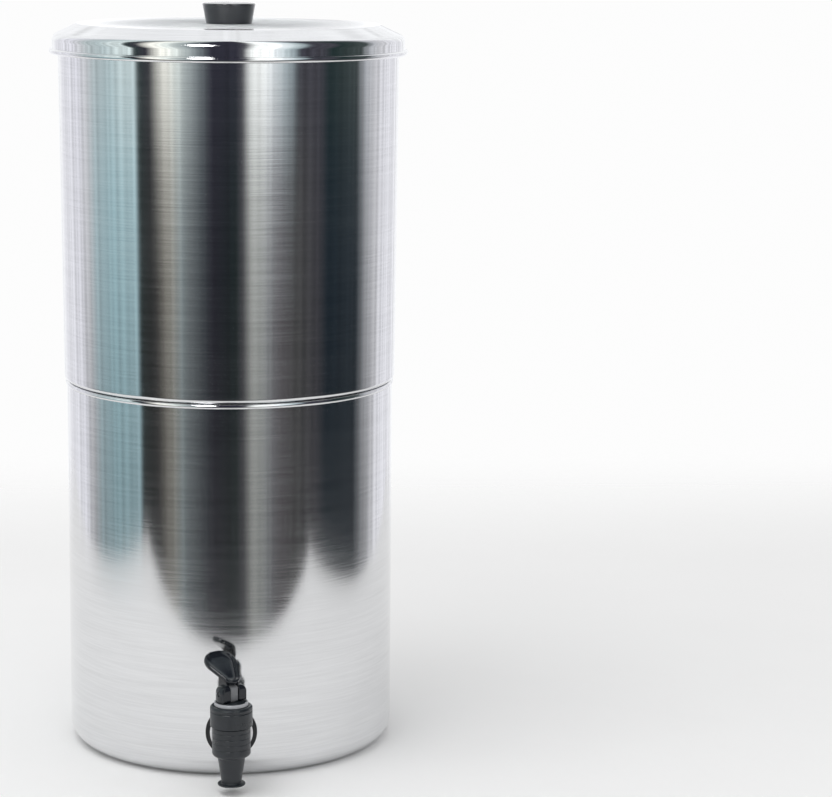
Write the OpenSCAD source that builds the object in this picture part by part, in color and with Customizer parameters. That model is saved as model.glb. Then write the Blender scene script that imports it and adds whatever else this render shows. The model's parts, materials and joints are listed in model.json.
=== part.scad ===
// Gravity water filter: two stacked steel vessels, a lift-off lid with a knob,
// two ceramic candles between the vessels, and a lever tap at the front.
// Millimetres. +Z is up, the tap faces -Y, and the origin is the centre of the base.

/* [Vessels] */
// Outer diameter of the lower vessel
lower_d = 240; // [225:1:270]
// Height of the lower vessel, to the top of its rolled rim
lower_h = 272; // [200:1:340]
// Height of the upper vessel, from its ledge to the top of its rolled rim
upper_h = 250; // [215:0.1:320]
// Thickness of the steel sheet
sheet_t = 0.8; // [0.6:0.05:1]
// Outside radius of the corner between base and wall
base_round = 14; // [8:0.5:20]
// Diameter of the rolled bead round each rim
rim_bead_d = 3.6; // [3:0.1:4.4]
// How far the lower rim's bead stands out from its wall
lower_rim_proud = 1; // [0.6:0.1:1.6]
// How far the upper rim's bead stands out from its wall
upper_rim_proud = 2.3; // [1.6:0.1:2.6]
// How far the upper vessel's foot stands out from the lower wall
foot_step = 1.8; // [1:0.1:3]
// How much the upper vessel's radius grows from foot to mouth
mouth_flare = 1.9; // [0:0.1:4]
// Radius of the upper vessel's lower edge
foot_round = 3.2; // [2:0.1:4]
// How deep the upper vessel's plug sits in the lower one
plug_depth = 14; // [10:0.5:20]
// Radius of the plug's lower edge
plug_round = 6; // [3:0.5:9]
// Gap between the plug and the lower rim's bead
plug_gap = 0.9; // [0.5:0.1:1.5]
// Gap left where one lift-off piece rests on the next
rest_gap = 0.3; // [0.2:0.05:0.4]

/* [Lid] */
// Gap between the lid's skirt and the upper rim's bead
lid_gap = 0.9; // [0.7:0.1:1.5]
// Height of the straight skirt, above its hem bead's centre
skirt_h = 7; // [6:0.5:14]
// Diameter of the rolled bead at the skirt's hem
hem_bead_d = 4.2; // [3.4:0.1:5]
// How far the hem bead stands out from the skirt
hem_proud = 2.3; // [1.8:0.1:3]
// Height of the lid's level top, above its straight skirt
lid_rise = 12.5; // [11:0.5:16]
// Radial width of the lid's sloping shoulder
shoulder_w = 18.5; // [15:0.1:30]
// Radius where the skirt turns into the shoulder
brow_round = 6.5; // [5:0.1:8]
// Radius where the shoulder turns into the level top
crest_round = 3.3; // [2:0.1:6]

/* [Knob] */
// Diameter of the knob's top
knob_d = 38.3; // [34:0.1:46]
// Diameter of the knob's foot
knob_foot_d = 33.3; // [26:0.1:34]
// Height of the knob
knob_h = 15.5; // [14:0.1:22]
// Radius of the knob's top edge
knob_edge = 1; // [0.6:0.1:3]
// Diameter of the knob's screw
screw_d = 5; // [4:0.5:6]

/* [Candles] */
// Outer diameter of a ceramic candle
candle_d = 50; // [40:1:56]
// Height of a candle above its cap's floor
candle_h = 168; // [120:1:180]
// Thickness of the ceramic
ceramic_t = 8; // [5:0.5:10]
// Distance between the two candles' axes
candle_spacing = 100; // [84:1:120]
// Height of the plastic cap round a candle's foot
cap_h = 16; // [10:1:24]
// Diameter of a candle's threaded stem
candle_stem_d = 10; // [8:0.5:12]
// Length of stem below the upper vessel's floor
candle_stem_l = 24; // [20:1:32]
// Diameter of the water way through a candle's stem
candle_bore_d = 5; // [3:0.5:6]
// Thickness of a candle's sealing washer
washer_t = 3; // [2:0.5:4]

/* [Tap shank] */
// Height of the shank's axis above the base
tap_z = 35; // [33:0.5:60]
// Distance from the vessel's wall to the tap's upright axis
tap_reach = 33; // [32.5:0.5:45]
// Diameter of the threaded shank
shank_d = 16; // [14:0.5:18]
// Diameter of the water way through the shank
shank_bore_d = 9; // [6:0.5:9]
// Length of shank inside the wall
shank_in = 18; // [14:1:30]
// Diameter of the shank's collar, in front of the steel washer
collar_d = 22; // [20:0.5:25]
// Thickness of the shank's collar
collar_t = 3; // [2:0.1:4]
// Diameter of the rubber gasket on the outside of the wall
gasket_d = 36.7; // [32:0.1:44]
// Least thickness of the rubber gasket
gasket_t = 1.6; // [1.2:0.1:3]
// Diameter of the steel washer on the gasket
plate_d = 30.7; // [27:0.1:31]
// Thickness of the steel washer
plate_t = 1.2; // [0.8:0.1:2]
// Width across the flats of the lock nut
nut_af = 25; // [24:0.5:30]
// Thickness of the lock nut
nut_t = 6; // [4:0.5:9]

/* [Tap body] */
// Diameter of the tap's barrel
barrel_d = 27.3; // [26.8:0.1:28.4]
// Height of the barrel, from its underside to the bonnet
barrel_h = 21.2; // [20:0.1:30]
// Length of the nozzle below the barrel
nozzle_l = 21.8; // [15:0.1:26]
// Diameter of the nozzle where it leaves the barrel
nozzle_top_d = 19.9; // [17:0.1:22]
// Diameter of the nozzle just above its lip
nozzle_low_d = 14; // [12.6:0.1:16]
// Diameter of the nozzle's lip
lip_d = 19.5; // [16:0.1:22]
// Diameter of the outlet
outlet_d = 10; // [8:0.5:11]
// Inside diameter of the barrel
chamber_d = 21; // [20:0.5:22]
// Diameter of the bonnet
bonnet_d = 29.8; // [28.6:0.1:34]
// Height of the bonnet
bonnet_h = 14.8; // [13.5:0.1:20]
// Thickness of the bonnet's top
bonnet_top_t = 3.4; // [2.5:0.1:4]
// Outside diameter of the pale ring on the bonnet
ring_d = 24; // [22:0.1:26]
// Radial width of the pale ring
ring_w = 1.4; // [1:0.1:2]
// Height of the pale ring
ring_h = 2.6; // [1.5:0.1:4]

/* [Lever and valve] */
// Direction in which the lever lies, turned from straight back
lever_swing = 35; // [-180:1:180]
// Angle that the paddle rises at rest
paddle_rise = 33; // [29:0.5:36]
// Length of the paddle
paddle_l = 30.8; // [27:0.1:31.5]
// Width of the paddle at its free end
paddle_w = 24.6; // [22:0.1:28]
// Thickness of the paddle
paddle_t = 3.2; // [2.8:0.1:3.8]
// Width of the raised rim round the paddle
paddle_rim = 1.6; // [1:0.1:2.5]
// Depth of the dish in the paddle
dish_depth = 1.4; // [0.8:0.1:2]
// Diameter of the round foot that the lever's two cheeks are cut from
fork_d = 21.6; // [19:0.1:22.4]
// Width of the lever's neck, under the paddle
neck_w = 9.8; // [9:0.1:13]
// Height of the pin above the cheeks' feet
cam_h = 6; // [5.6:0.1:7]
// Lift of the stem for each radian that the lever is pressed
cam_lift = 5.5; // [4:0.1:6]
// Angle that the lever is pressed to open the tap fully
press_max = 30; // [20:1:32]
// Width of the stem's flat head
stem_w = 6.4; // [5:0.1:7]
// Diameter of the stem's shaft
stem_d = 6; // [5:0.1:7]
// Diameter of the lever's pin
pin_d = 3; // [2:0.1:3.4]
// Radius of the seat cup's rounded nose
nose_r = 7; // [6.4:0.1:8]
// Turns of the closing spring
spring_turns = 6; // [4:1:8]
// Wire of the closing spring
spring_wire = 0.9; // [0.7:0.1:1.1]

/* [Hidden] */
$fn = 96;
wall_fn = 720; // sides of the large cylinder that a thin seal is cut to

// Clearances, each used wherever two pieces meet in the same way
slip = 0.3;       // between pieces of different bodies that pass each other
pin_play = 0.05;  // round a pin that turns in its bore
thread_play = 0.1; // between a thread and its nut
seat_play = 0.05; // between a seal and a curved wall
weld = 0.4;       // how far two forms of one solid run into each other

lower_r = lower_d / 2;
bead_r = rim_bead_d / 2;
lower_bead_r = lower_r + lower_rim_proud - bead_r;

foot_z = lower_h + rest_gap;
foot_r = lower_r + foot_step;
mouth_r = foot_r + mouth_flare;
plug_r = lower_bead_r - bead_r - plug_gap;
plug_z = foot_z - plug_depth;
floor_z = plug_z + sheet_t;
rim_z = foot_z + upper_h - bead_r;
rim_r = mouth_r + upper_rim_proud - bead_r;

skirt_r = rim_r + bead_r + lid_gap + sheet_t;
brow_grip = brow_round - sheet_t - bead_r - rest_gap;   // the brow rests on the rim bead from above
lid_seat = sqrt(pow(brow_grip, 2) - pow(brow_grip + rest_gap - lid_gap, 2));
skirt_z = rim_z - lid_seat;
hem_z = skirt_z - skirt_h;
lid_z = skirt_z + lid_rise;

screw_r = screw_d / 2;
knob_washer_t = 1;
knob_washer_r = screw_r + 5;
screw_head_r = screw_r + 2.6;
screw_head_h = 2.8;
insert_r = screw_r + 2;
insert_h = 9;

candle_r = candle_d / 2;
candle_cap_t = 2.5;
candle_stem_r = candle_stem_d / 2;
cap_z = floor_z + washer_t;
candle_z = cap_z + candle_cap_t;
seal_r = candle_stem_r + 7;
wing_hub_r = candle_stem_r + 4;
wing_hub_h = 9;
wing_z = plug_z - washer_t - wing_hub_h;

tap_y = -(lower_r + tap_reach);
shank_r = shank_d / 2;
gasket_face = lower_r + gasket_t;
plate_face = gasket_face + plate_t;
inner_r = lower_r - sheet_t;
inner_gasket_t = 2.6;
nut_face = inner_r - inner_gasket_t;

seat_z = tap_z - 5;
barrel_z = tap_z - 6.5;
barrel_r = barrel_d / 2;
barrel_top = barrel_z + barrel_h;
barrel_edge = 0.8; // chamfer that shows as a seam under the bonnet
lip_z = barrel_z - nozzle_l;
chamber_r = chamber_d / 2;
thread_wall = 1.6;
body_neck_r = chamber_r + thread_wall;
bonnet_z = barrel_top;
bonnet_top = bonnet_z + bonnet_h;
bonnet_roof = bonnet_top - bonnet_top_t;
seal_t = 1.2;
body_neck_top = bonnet_roof - seal_t - 0.7;
ring_r = ring_d / 2;
thrust_r = ring_r - ring_w - slip;
thrust_top = bonnet_top + ring_h + slip;

pin_z = thrust_top + slip + cam_h;
paddle_y = -5.6;   // where the rim of the paddle's narrow end lies, seen from the pin
paddle_up = 8.8;
cheek_top = 5.4;
stem_r = stem_d / 2;
outlet_r = outlet_d / 2;
nose_z = seat_z + sqrt(pow(nose_r + slip, 2) - pow(outlet_r, 2));
cup_r = chamber_r - 2;
cup_top = nose_z + 3.2;
spring_r = stem_r + spring_wire / 2 + 1.2;
spring_low = cup_top + spring_wire / 2;
spring_high = bonnet_roof - spring_wire / 2;

steel = [0.80, 0.81, 0.83];
black = [0.09, 0.09, 0.11];
pale = [0.74, 0.75, 0.77];
grey = [0.44, 0.45, 0.47];
ceramic = [0.95, 0.94, 0.90];
white = [0.92, 0.92, 0.90];
rubber = [0.16, 0.16, 0.17];
silicone = [0.86, 0.87, 0.86];
brass = [0.78, 0.62, 0.30];

// Points of a round stretch about (cx, cy), from angle a0 to angle a1
function arc(cx, cy, r, a0, a1, n = 8) =
    [for (i = [0:n]) let (a = a0 + (a1 - a0) * i / n) [cx + r * cos(a), cy + r * sin(a)]];

module revolve(points) {
    rotate_extrude() polygon(points);
}

module bead(r, z, bead_radius) {
    rotate_extrude() translate([r, z]) circle(bead_radius);
}

module tube(outer, inner, height) {
    difference() {
        cylinder(r = outer, h = height);
        translate([0, 0, -1]) cylinder(r = inner, h = height + 2);
    }
}

// Turns a piece drawn along +Z so that it points out of the wall at the shank, face at that radius
module on_shank(face) {
    translate([0, -face, tap_z]) rotate([90, 0, 0]) children();
}

module at_tap(z) {
    translate([0, tap_y, z]) children();
}

// The lever's own frame: origin on the pin's axis, x along the pin, y towards the paddle
module at_lever() {
    at_tap(pin_z) rotate([0, 0, lever_swing]) children();
}

// side is -1 for the left candle and 1 for the right one
module at_candle(side, z) {
    translate([side * candle_spacing / 2, 0, z]) children();
}

module lower_vessel() {
    corner = lower_r - base_round;
    color(steel) difference() {
        union() {
            revolve(concat(
                [[0, 0]],
                arc(corner, base_round, base_round, -90, 0),
                [[lower_r, lower_h - bead_r], [inner_r, lower_h - bead_r]],
                arc(corner, base_round, base_round - sheet_t, 0, -90),
                [[0, sheet_t]]
            ));
            bead(lower_bead_r, lower_h - bead_r, bead_r);
        }
        on_shank(inner_r - 5) cylinder(r = shank_r + slip, h = 10);
    }
}

module upper_vessel() {
    edge = foot_r - foot_round;
    heel = plug_r - plug_round;
    color(steel) difference() {
        union() {
            revolve(concat(
                [[0, plug_z]],
                arc(heel, plug_z + plug_round, plug_round, -90, 0),
                [[plug_r, foot_z]],
                arc(edge, foot_z + foot_round, foot_round, -90, 0),
                [[mouth_r, rim_z], [mouth_r - sheet_t, rim_z]],
                arc(edge, foot_z + foot_round, foot_round - sheet_t, 0, -90),
                [[plug_r - sheet_t, foot_z + sheet_t]],
                arc(heel, plug_z + plug_round, plug_round - sheet_t, 0, -90),
                [[0, floor_z]]
            ));
            bead(rim_r, rim_z, bead_r);
        }
        for (side = [-1, 1])
            at_candle(side, plug_z - 1) cylinder(r = candle_stem_r + slip, h = sheet_t + 2);
    }
}

// The lid's shoulder from skirt to top: two rounds and the straight slope that touches both
function shoulder(inset) =
    let (run = shoulder_w - brow_round, climb = lid_rise - crest_round,
         lean = atan2(climb, -run) - acos((brow_round - crest_round) / norm([run, climb])))
    concat(
        arc(skirt_r - brow_round, skirt_z, brow_round - inset, 0, lean, 16),
        arc(skirt_r - shoulder_w, lid_z - crest_round, crest_round - inset, lean, 90)
    );

function reversed(points) = [for (i = [len(points) - 1:-1:0]) points[i]];

module lid() {
    color(steel) difference() {
        union() {
            revolve(concat(
                [[skirt_r, hem_z]],
                shoulder(0),
                [[0, lid_z], [0, lid_z - sheet_t]],
                reversed(shoulder(sheet_t)),
                [[skirt_r - sheet_t, hem_z]]
            ));
            bead(skirt_r + hem_proud - hem_bead_d / 2, hem_z, hem_bead_d / 2);
        }
        translate([0, 0, lid_z - sheet_t - 1]) cylinder(r = screw_r + slip, h = sheet_t + 2);
    }
}

module lid_knob() {
    top_r = knob_d / 2;
    foot = knob_foot_d / 2;
    crown = 0.8;
    color(black) translate([0, 0, lid_z]) difference() {
        revolve(concat(
            [[0, 0], [foot - 0.6, 0], [foot, 0.6]],
            arc(top_r - knob_edge, knob_h - crown - knob_edge, knob_edge, -9, 84),
            [[0, knob_h]]
        ));
        translate([0, 0, -1]) cylinder(r = insert_r, h = insert_h + 1);
    }
}

module knob_insert() {
    color(brass) translate([0, 0, lid_z]) tube(insert_r, screw_r + thread_play, insert_h);
}

module knob_washer() {
    color(steel) translate([0, 0, lid_z - sheet_t - knob_washer_t])
        tube(knob_washer_r, screw_r + slip, knob_washer_t);
}

module knob_screw() {
    color(steel) translate([0, 0, lid_z - sheet_t - knob_washer_t]) {
        cylinder(r = screw_r, h = sheet_t + knob_washer_t + insert_h - 1);
        difference() {
            revolve(concat([[0, 0]], [[0, -screw_head_h]],
                arc(screw_head_r - 1.6, -screw_head_h + 1.6, 1.6, -90, 0), [[screw_head_r, 0]]));
            for (turn = [0, 90])
                rotate(turn) translate([-screw_r, -0.5, -screw_head_h - 1])
                    cube([screw_d, 1, 2.2]);
        }
    }
}

module candle(side) {
    dome_z = candle_h - candle_r;
    color(ceramic) at_candle(side, candle_z) revolve(concat(
        [[candle_r - ceramic_t, 0], [candle_r, 0]],
        arc(0, dome_z, candle_r, 0, 90, 16),
        arc(0, dome_z, candle_r - ceramic_t, 90, 0, 12)
    ));
}

module candle_cap(side) {
    wall = 2;
    cap_r = candle_r + seat_play + wall;
    color(white) at_candle(side, cap_z) difference() {
        union() {
            revolve(concat(
                [[0, 0]],
                arc(cap_r - 2, 2, 2, -90, 0),
                [[cap_r, cap_h], [cap_r - wall, cap_h], [cap_r - wall, candle_cap_t], [0, candle_cap_t]]
            ));
            translate([0, 0, -washer_t - sheet_t - candle_stem_l])
                cylinder(r = candle_stem_r, h = washer_t + sheet_t + candle_stem_l + 1);
        }
        translate([0, 0, -washer_t - sheet_t - candle_stem_l - 1])
            cylinder(r = candle_bore_d / 2, h = 60);
    }
}

module candle_seal(side, z) {
    color(silicone) at_candle(side, z) tube(seal_r, candle_stem_r + thread_play, washer_t);
}

module wing_nut(side) {
    wing_r = 7.5;
    wing_t = 2.6;
    color(white) at_candle(side, wing_z) difference() {
        union() {
            cylinder(r = wing_hub_r, h = wing_hub_h);
            for (s = [-1, 1])
                translate([s * (wing_hub_r + wing_r * 0.45), wing_t / 2, wing_hub_h - wing_r - 0.5])
                    rotate([90, 0, 0]) cylinder(r = wing_r, h = wing_t);
        }
        translate([0, 0, -6]) cylinder(r = candle_stem_r + thread_play, h = wing_hub_h + 12);
    }
}

// Outer form of the barrel, with its shallow ribs, and of the nozzle under it
function tap_outline() = concat(
    [[0, lip_z], [lip_d / 2 - 0.4, lip_z], [lip_d / 2, lip_z + 0.4], [lip_d / 2, lip_z + 0.8],
     [lip_d / 2 - 0.5, lip_z + 1.2], [nozzle_low_d / 2 + 0.6, lip_z + 1.7],
     [nozzle_low_d / 2, lip_z + 3], [nozzle_top_d / 2, barrel_z - 1]],
    arc(barrel_r - 3, barrel_z + 2.2, 3, -80, 0, 6),
    [for (i = [0:3]) each
        let (z = barrel_z + 5 + i * 4) [[barrel_r, z], [barrel_r - 0.3, z + 0.5], [barrel_r, z + 1]]],
    [[barrel_r, barrel_top - barrel_edge], [barrel_r - barrel_edge, barrel_top], [body_neck_r, barrel_top],
     [body_neck_r, body_neck_top], [0, body_neck_top]]
);

module tap_body() {
    color(black) difference() {
        union() {
            at_tap(0) revolve(tap_outline());
            on_shank(inner_r - shank_in)
                cylinder(r = shank_r, h = -tap_y - inner_r + shank_in);
            on_shank(plate_face) cylinder(r = collar_d / 2, h = collar_t);
            on_shank(plate_face + collar_t - weld)
                cylinder(r1 = collar_d / 2 - 1, r2 = shank_r + 0.6, h = -tap_y - plate_face - collar_t + weld);
        }
        at_tap(seat_z) cylinder(r = chamber_r, h = body_neck_top - seat_z + 1);
        at_tap(lip_z - 1) cylinder(r = outlet_r, h = seat_z - lip_z + 2);
        on_shank(inner_r - shank_in - 1)
            cylinder(r = shank_bore_d / 2, h = -tap_y - inner_r + shank_in + 1);
    }
}

module wall_gasket() {
    color(rubber) difference() {
        on_shank(lower_r - 6) tube(gasket_d / 2, shank_r + slip, gasket_t + 6);
        cylinder(r = lower_r + seat_play, h = tap_z + gasket_d, $fn = wall_fn);
    }
}

module wall_washer() {
    color(steel) on_shank(gasket_face) tube(plate_d / 2, shank_r + slip, plate_t);
}

module inner_gasket() {
    color(rubber) intersection() {
        on_shank(nut_face) tube(nut_af / 2 + 1.5, shank_r + slip, inner_gasket_t + 3);
        cylinder(r = inner_r - seat_play, h = tap_z + gasket_d, $fn = wall_fn);
    }
}

module lock_nut() {
    color(black) on_shank(nut_face - nut_t) difference() {
        cylinder(r = nut_af / sqrt(3), h = nut_t, $fn = 6);
        translate([0, 0, -1]) cylinder(r = shank_r + thread_play, h = nut_t + 2);
    }
}

module bonnet() {
    r = bonnet_d / 2;
    groove_z = bonnet_top - 4.2;
    color(black) at_tap(0) difference() {
        revolve(concat(
            [[0, bonnet_z], [r - 0.5, bonnet_z], [r, bonnet_z + 0.5]],
            [[r, groove_z], [r - 0.5, groove_z + 0.5], [r, groove_z + 1]],
            arc(r - 1.8, bonnet_top - 1.8, 1.8, 0, 90, 6),
            [[0, bonnet_top]]
        ));
        translate([0, 0, bonnet_z - 1])
            cylinder(r = body_neck_r + thread_play, h = bonnet_roof - bonnet_z + 1);
        translate([0, 0, bonnet_roof - 1]) cylinder(r = stem_r + slip, h = bonnet_top_t + 2);
    }
}

module bonnet_seal() {
    color(silicone) at_tap(body_neck_top)
        tube(body_neck_r - seat_play, body_neck_r - 3.4, bonnet_roof - body_neck_top);
}

module bonnet_ring() {
    edge = 0.4;
    color(pale) at_tap(bonnet_top) revolve([
        [ring_r - ring_w, 0], [ring_r, 0], [ring_r, ring_h - edge], [ring_r - edge, ring_h],
        [ring_r - ring_w + edge, ring_h], [ring_r - ring_w, ring_h - edge]
    ]);
}

module thrust_washer() {
    color(black) at_tap(bonnet_top) tube(thrust_r, stem_r + slip, thrust_top - bonnet_top);
}

module stem() {
    head_half = 4;
    head_top = 5.5;
    color(grey) at_lever() difference() {
        union() {
            translate([0, 0, -pin_z + nose_z - 2]) cylinder(r = stem_r, h = pin_z - nose_z + 2);
            intersection() {
                translate([-stem_w / 2, -head_half, -cam_h + slip])
                    cube([stem_w, head_half * 2, cam_h + head_top]);
                union() {
                    rotate([0, 90, 0]) cylinder(r = head_top, h = stem_w + 2, center = true);
                    translate([-stem_w, -head_half, -cam_h])
                        cube([stem_w * 2, head_half * 2, cam_h]);
                }
            }
        }
        rotate([0, 90, 0]) cylinder(r = pin_d / 2 + 0.02, h = stem_w + 4, center = true);
    }
}

module seat_cup() {
    color(silicone) at_tap(0) difference() {
        revolve(concat(
            arc(0, nose_z, nose_r, -90, 0, 12),
            [[cup_r, nose_z + 1.6], [cup_r, cup_top], [0, cup_top]]
        ));
        translate([0, 0, nose_z - 2]) cylinder(r = stem_r, h = 12);
    }
}

module lever_pin() {
    color(black) at_lever() rotate([0, 90, 0])
        cylinder(r = pin_d / 2, h = fork_d - 1, center = true);
}

// Outline of the paddle: three circles, one at the narrow end, joined by their tangents
function paddle_outline(inset) =
    let (
        narrow = 6.8,
        wide = 10,
        half = paddle_w / 2 - wide,
        reach = paddle_l - wide - narrow,
        lean = atan2(reach, half) - acos((narrow - wide) / norm([half, reach]))
    )
    concat(
        arc(half, paddle_l - wide, wide - inset, lean, 90),
        arc(-half, paddle_l - wide, wide - inset, 90, 180 - lean),
        arc(0, narrow, narrow - inset, 180 - lean, 360 + lean)
    );

module paddle() {
    dish_span = paddle_w / 2 - paddle_rim + 0.6;
    dish_r = (pow(dish_span, 2) + pow(dish_depth, 2)) / (2 * dish_depth);
    difference() {
        translate([0, 0, -paddle_t]) linear_extrude(paddle_t) polygon(paddle_outline(0));
        intersection() {
            translate([0, 0, -paddle_t]) linear_extrude(paddle_t + 1)
                polygon(paddle_outline(paddle_rim));
            translate([0, paddle_l * 0.54, dish_r - dish_depth]) sphere(r = dish_r);
        }
    }
}

// Side view of a cheek. Its foot is an involute, so the stem rises evenly as the lever turns
function cheek_outline() = concat(
    [[-4.8, -cam_h + 0.8], [-4, -cam_h]],
    [for (i = [0:8])
        let (a = press_max * i / 8, h = cam_h + cam_lift * a * PI / 180)
        [h * sin(a) + cam_lift * cos(a), -h * cos(a) + cam_lift * sin(a)]],
    [[cam_lift + 4.6, 0]],
    arc(2.2, cheek_top - 5.6, 5.6, 20, 90, 5),
    arc(-1.4, cheek_top - 3.4, 3.4, 90, 180, 5)
);

// Draws a side view of the lever and gives it that width, evenly about the slot
module across_lever(width) {
    rotate([90, 0, 90]) translate([0, 0, -width / 2]) linear_extrude(width) children();
}

// The two cheeks before they are slotted: the side view, cut to a round foot with a domed top
module cheeks() {
    foot_r = fork_d / 2;
    dome = 5.2;
    intersection() {
        across_lever(fork_d) polygon(cheek_outline());
        revolve(concat(
            [[0, -cam_h - 1], [foot_r, -cam_h - 1]],
            arc(foot_r - dome, cheek_top - dome, dome, 0, 90),
            [[0, cheek_top]]
        ));
    }
}

// A point of the lever's side view, that far along the paddle and that far below its rim
function on_paddle(along, below) = [
    paddle_y + along * cos(paddle_rise) + below * sin(paddle_rise),
    paddle_up + along * sin(paddle_rise) - below * cos(paddle_rise)
];

module neck() {
    back = 8.2;
    buried = paddle_t - 1;
    across_lever(neck_w) polygon([
        [-2.6, 0], [-2.2, 5], on_paddle(5, buried), on_paddle(17, buried),
        on_paddle(15.5, paddle_t + 0.6), [back, 6], [back, 0]
    ]);
}

module lever() {
    slot = stem_w + slip * 2;
    head_clearance = 6.2;
    color(black) at_lever() difference() {
        union() {
            cheeks();
            neck();
            translate([0, paddle_y, paddle_up]) rotate([paddle_rise, 0, 0]) paddle();
        }
        translate([-slot / 2, -fork_d, -fork_d]) cube([slot, fork_d * 2, fork_d]);
        rotate([0, 90, 0]) cylinder(r = head_clearance, h = slot, center = true);
        rotate([0, 90, 0]) cylinder(r = pin_d / 2 + pin_play, h = fork_d + 2, center = true);
    }
}

// One unbroken wire of six sides, wound about Z from z0 up to z1
function coil_rings(r, wire, z0, z1, turns, per_turn) = [
    for (i = [0:turns * per_turn])
        let (a = 360 * i / per_turn, z = z0 + (z1 - z0) * i / (turns * per_turn))
        [for (k = [0:5]) let (b = 60 * k)
            [(r + wire / 2 * cos(b)) * cos(a), (r + wire / 2 * cos(b)) * sin(a), z + wire / 2 * sin(b)]]
];

module coil(r, wire, z0, z1, turns, per_turn = 12) {
    rings = coil_rings(r, wire, z0, z1, turns, per_turn);
    count = len(rings);
    polyhedron(
        points = [for (ring = rings) each ring],
        faces = concat(
            [for (i = [0:count - 2]) for (k = [0:5]) let (a = i * 6 + k, b = i * 6 + (k + 1) % 6)
                each [[a, b, b + 6], [a, b + 6, a + 6]]],
            [for (k = [1:4]) [0, k + 1, k]],
            [for (k = [1:4]) let (e = (count - 1) * 6) [e, e + k, e + k + 1]]
        )
    );
}

module spring() {
    gap = (spring_high - spring_low) / spring_turns - spring_wire;
    echo(spring_least_gap = gap);
    color(steel) at_tap(0) coil(spring_r, spring_wire, spring_low + slip, spring_high - seat_play, spring_turns);
}

lower_vessel();
upper_vessel();
lid();
lid_knob();
knob_insert();
knob_screw();
knob_washer();
candle(-1);  // candle_left
candle(1);  // candle_right
candle_cap(-1);  // candle_cap_left
candle_cap(1);  // candle_cap_right
candle_seal(-1, floor_z);  // inner_seal_left
candle_seal(1, floor_z);  // inner_seal_right
candle_seal(-1, plug_z - washer_t);  // outer_seal_left
candle_seal(1, plug_z - washer_t);  // outer_seal_right
wing_nut(-1);  // wing_nut_left
wing_nut(1);  // wing_nut_right
tap_body();
wall_gasket();
wall_washer();
inner_gasket();
lock_nut();
bonnet();
bonnet_seal();
bonnet_ring();
thrust_washer();
stem();
seat_cup();
lever_pin();
lever();
spring();
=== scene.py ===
"""Studio model of a gravity water filter with tap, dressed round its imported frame.

Run as a script it loads the frame, registers the operators below and calls them in order.
"""

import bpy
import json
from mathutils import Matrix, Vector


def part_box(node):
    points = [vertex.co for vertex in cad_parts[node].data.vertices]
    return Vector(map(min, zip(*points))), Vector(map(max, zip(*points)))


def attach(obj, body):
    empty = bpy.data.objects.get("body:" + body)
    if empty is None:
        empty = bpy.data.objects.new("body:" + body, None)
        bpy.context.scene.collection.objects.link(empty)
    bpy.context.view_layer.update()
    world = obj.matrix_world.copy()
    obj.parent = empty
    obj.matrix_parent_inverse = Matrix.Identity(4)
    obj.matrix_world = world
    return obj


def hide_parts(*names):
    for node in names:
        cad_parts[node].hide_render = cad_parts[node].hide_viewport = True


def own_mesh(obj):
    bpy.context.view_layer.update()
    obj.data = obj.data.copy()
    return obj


bl_info = {
    "name": "Gravity water filter",
    "version": (1, 0, 0),
    "blender": (4, 5, 0),
    "location": "3D View > Sidebar > Water filter",
    "description": "Builds the finishes and the fine pieces of a gravity water filter and its studio",
    "category": "Object",
}

import json
import math

import bmesh
import bpy
from bpy.props import FloatProperty, FloatVectorProperty, PointerProperty
from mathutils import Matrix, Vector

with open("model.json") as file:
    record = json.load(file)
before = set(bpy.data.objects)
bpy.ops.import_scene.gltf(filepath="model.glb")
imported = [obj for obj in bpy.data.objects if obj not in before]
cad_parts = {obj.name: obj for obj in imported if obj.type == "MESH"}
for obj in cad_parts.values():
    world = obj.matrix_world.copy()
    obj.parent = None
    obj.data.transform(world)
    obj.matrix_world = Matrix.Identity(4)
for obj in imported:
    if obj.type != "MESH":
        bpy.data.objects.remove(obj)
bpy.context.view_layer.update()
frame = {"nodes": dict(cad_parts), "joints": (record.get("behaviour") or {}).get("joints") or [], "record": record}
PHOTO_WIDTH = 832    # pixels
SENSOR_WIDTH = 36.0

MM = 0.001
NODE = frame["nodes"]
BODY = {node: body for body, nodes in frame["record"]["behaviour"]["bodies"].items() for node in nodes}
JOINT = {joint["name"]: joint for joint in frame["joints"]}

WALL_SIDES = 288     # sides of the vessels and the lid
KNOB_SIDES = 160
CAP_SIDES = 144      # four for each rib of a candle's cap
FINE_SIDES = 128     # sides of the candles and of the tap's visible pieces
ROUND_SIDES = 96     # sides of the small turned pieces
CREASE = 38          # edges that turn by more than this many degrees stay sharp
TAP_CREASE = 50
SOFT_CREASE = 60

CUTTER_TURN = Matrix.Rotation(math.radians(1.7), 4, "Z")
OUTWARDS = Matrix.Rotation(math.pi / 2, 4, "X")     # turns Z out of the wall, towards the front
SIDEWAYS = Matrix.Rotation(math.pi / 2, 4, "Y")     # turns Z along the lever's pin


# ---------------------------------------------------------------- properties

def metres(name, description, default, low, high):
    return FloatProperty(name=name, description=description, default=default, min=low, max=high,
                         subtype="DISTANCE", unit="LENGTH", precision=5)


def millimetres(name, description, *sizes):
    return metres(name, description, *(size * MM for size in sizes))


def angle(name, description, default):
    return FloatProperty(name=name, description=description, default=default,
                         subtype="ANGLE", unit="ROTATION")


def share(name, description, default, high=1.0):
    return FloatProperty(name=name, description=description, default=default, min=0.0, max=high,
                         subtype="FACTOR")


def colour(name, description, default):
    return FloatVectorProperty(name=name, description=description, default=default, size=3,
                               min=0.0, max=1.0, subtype="COLOR")


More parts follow.
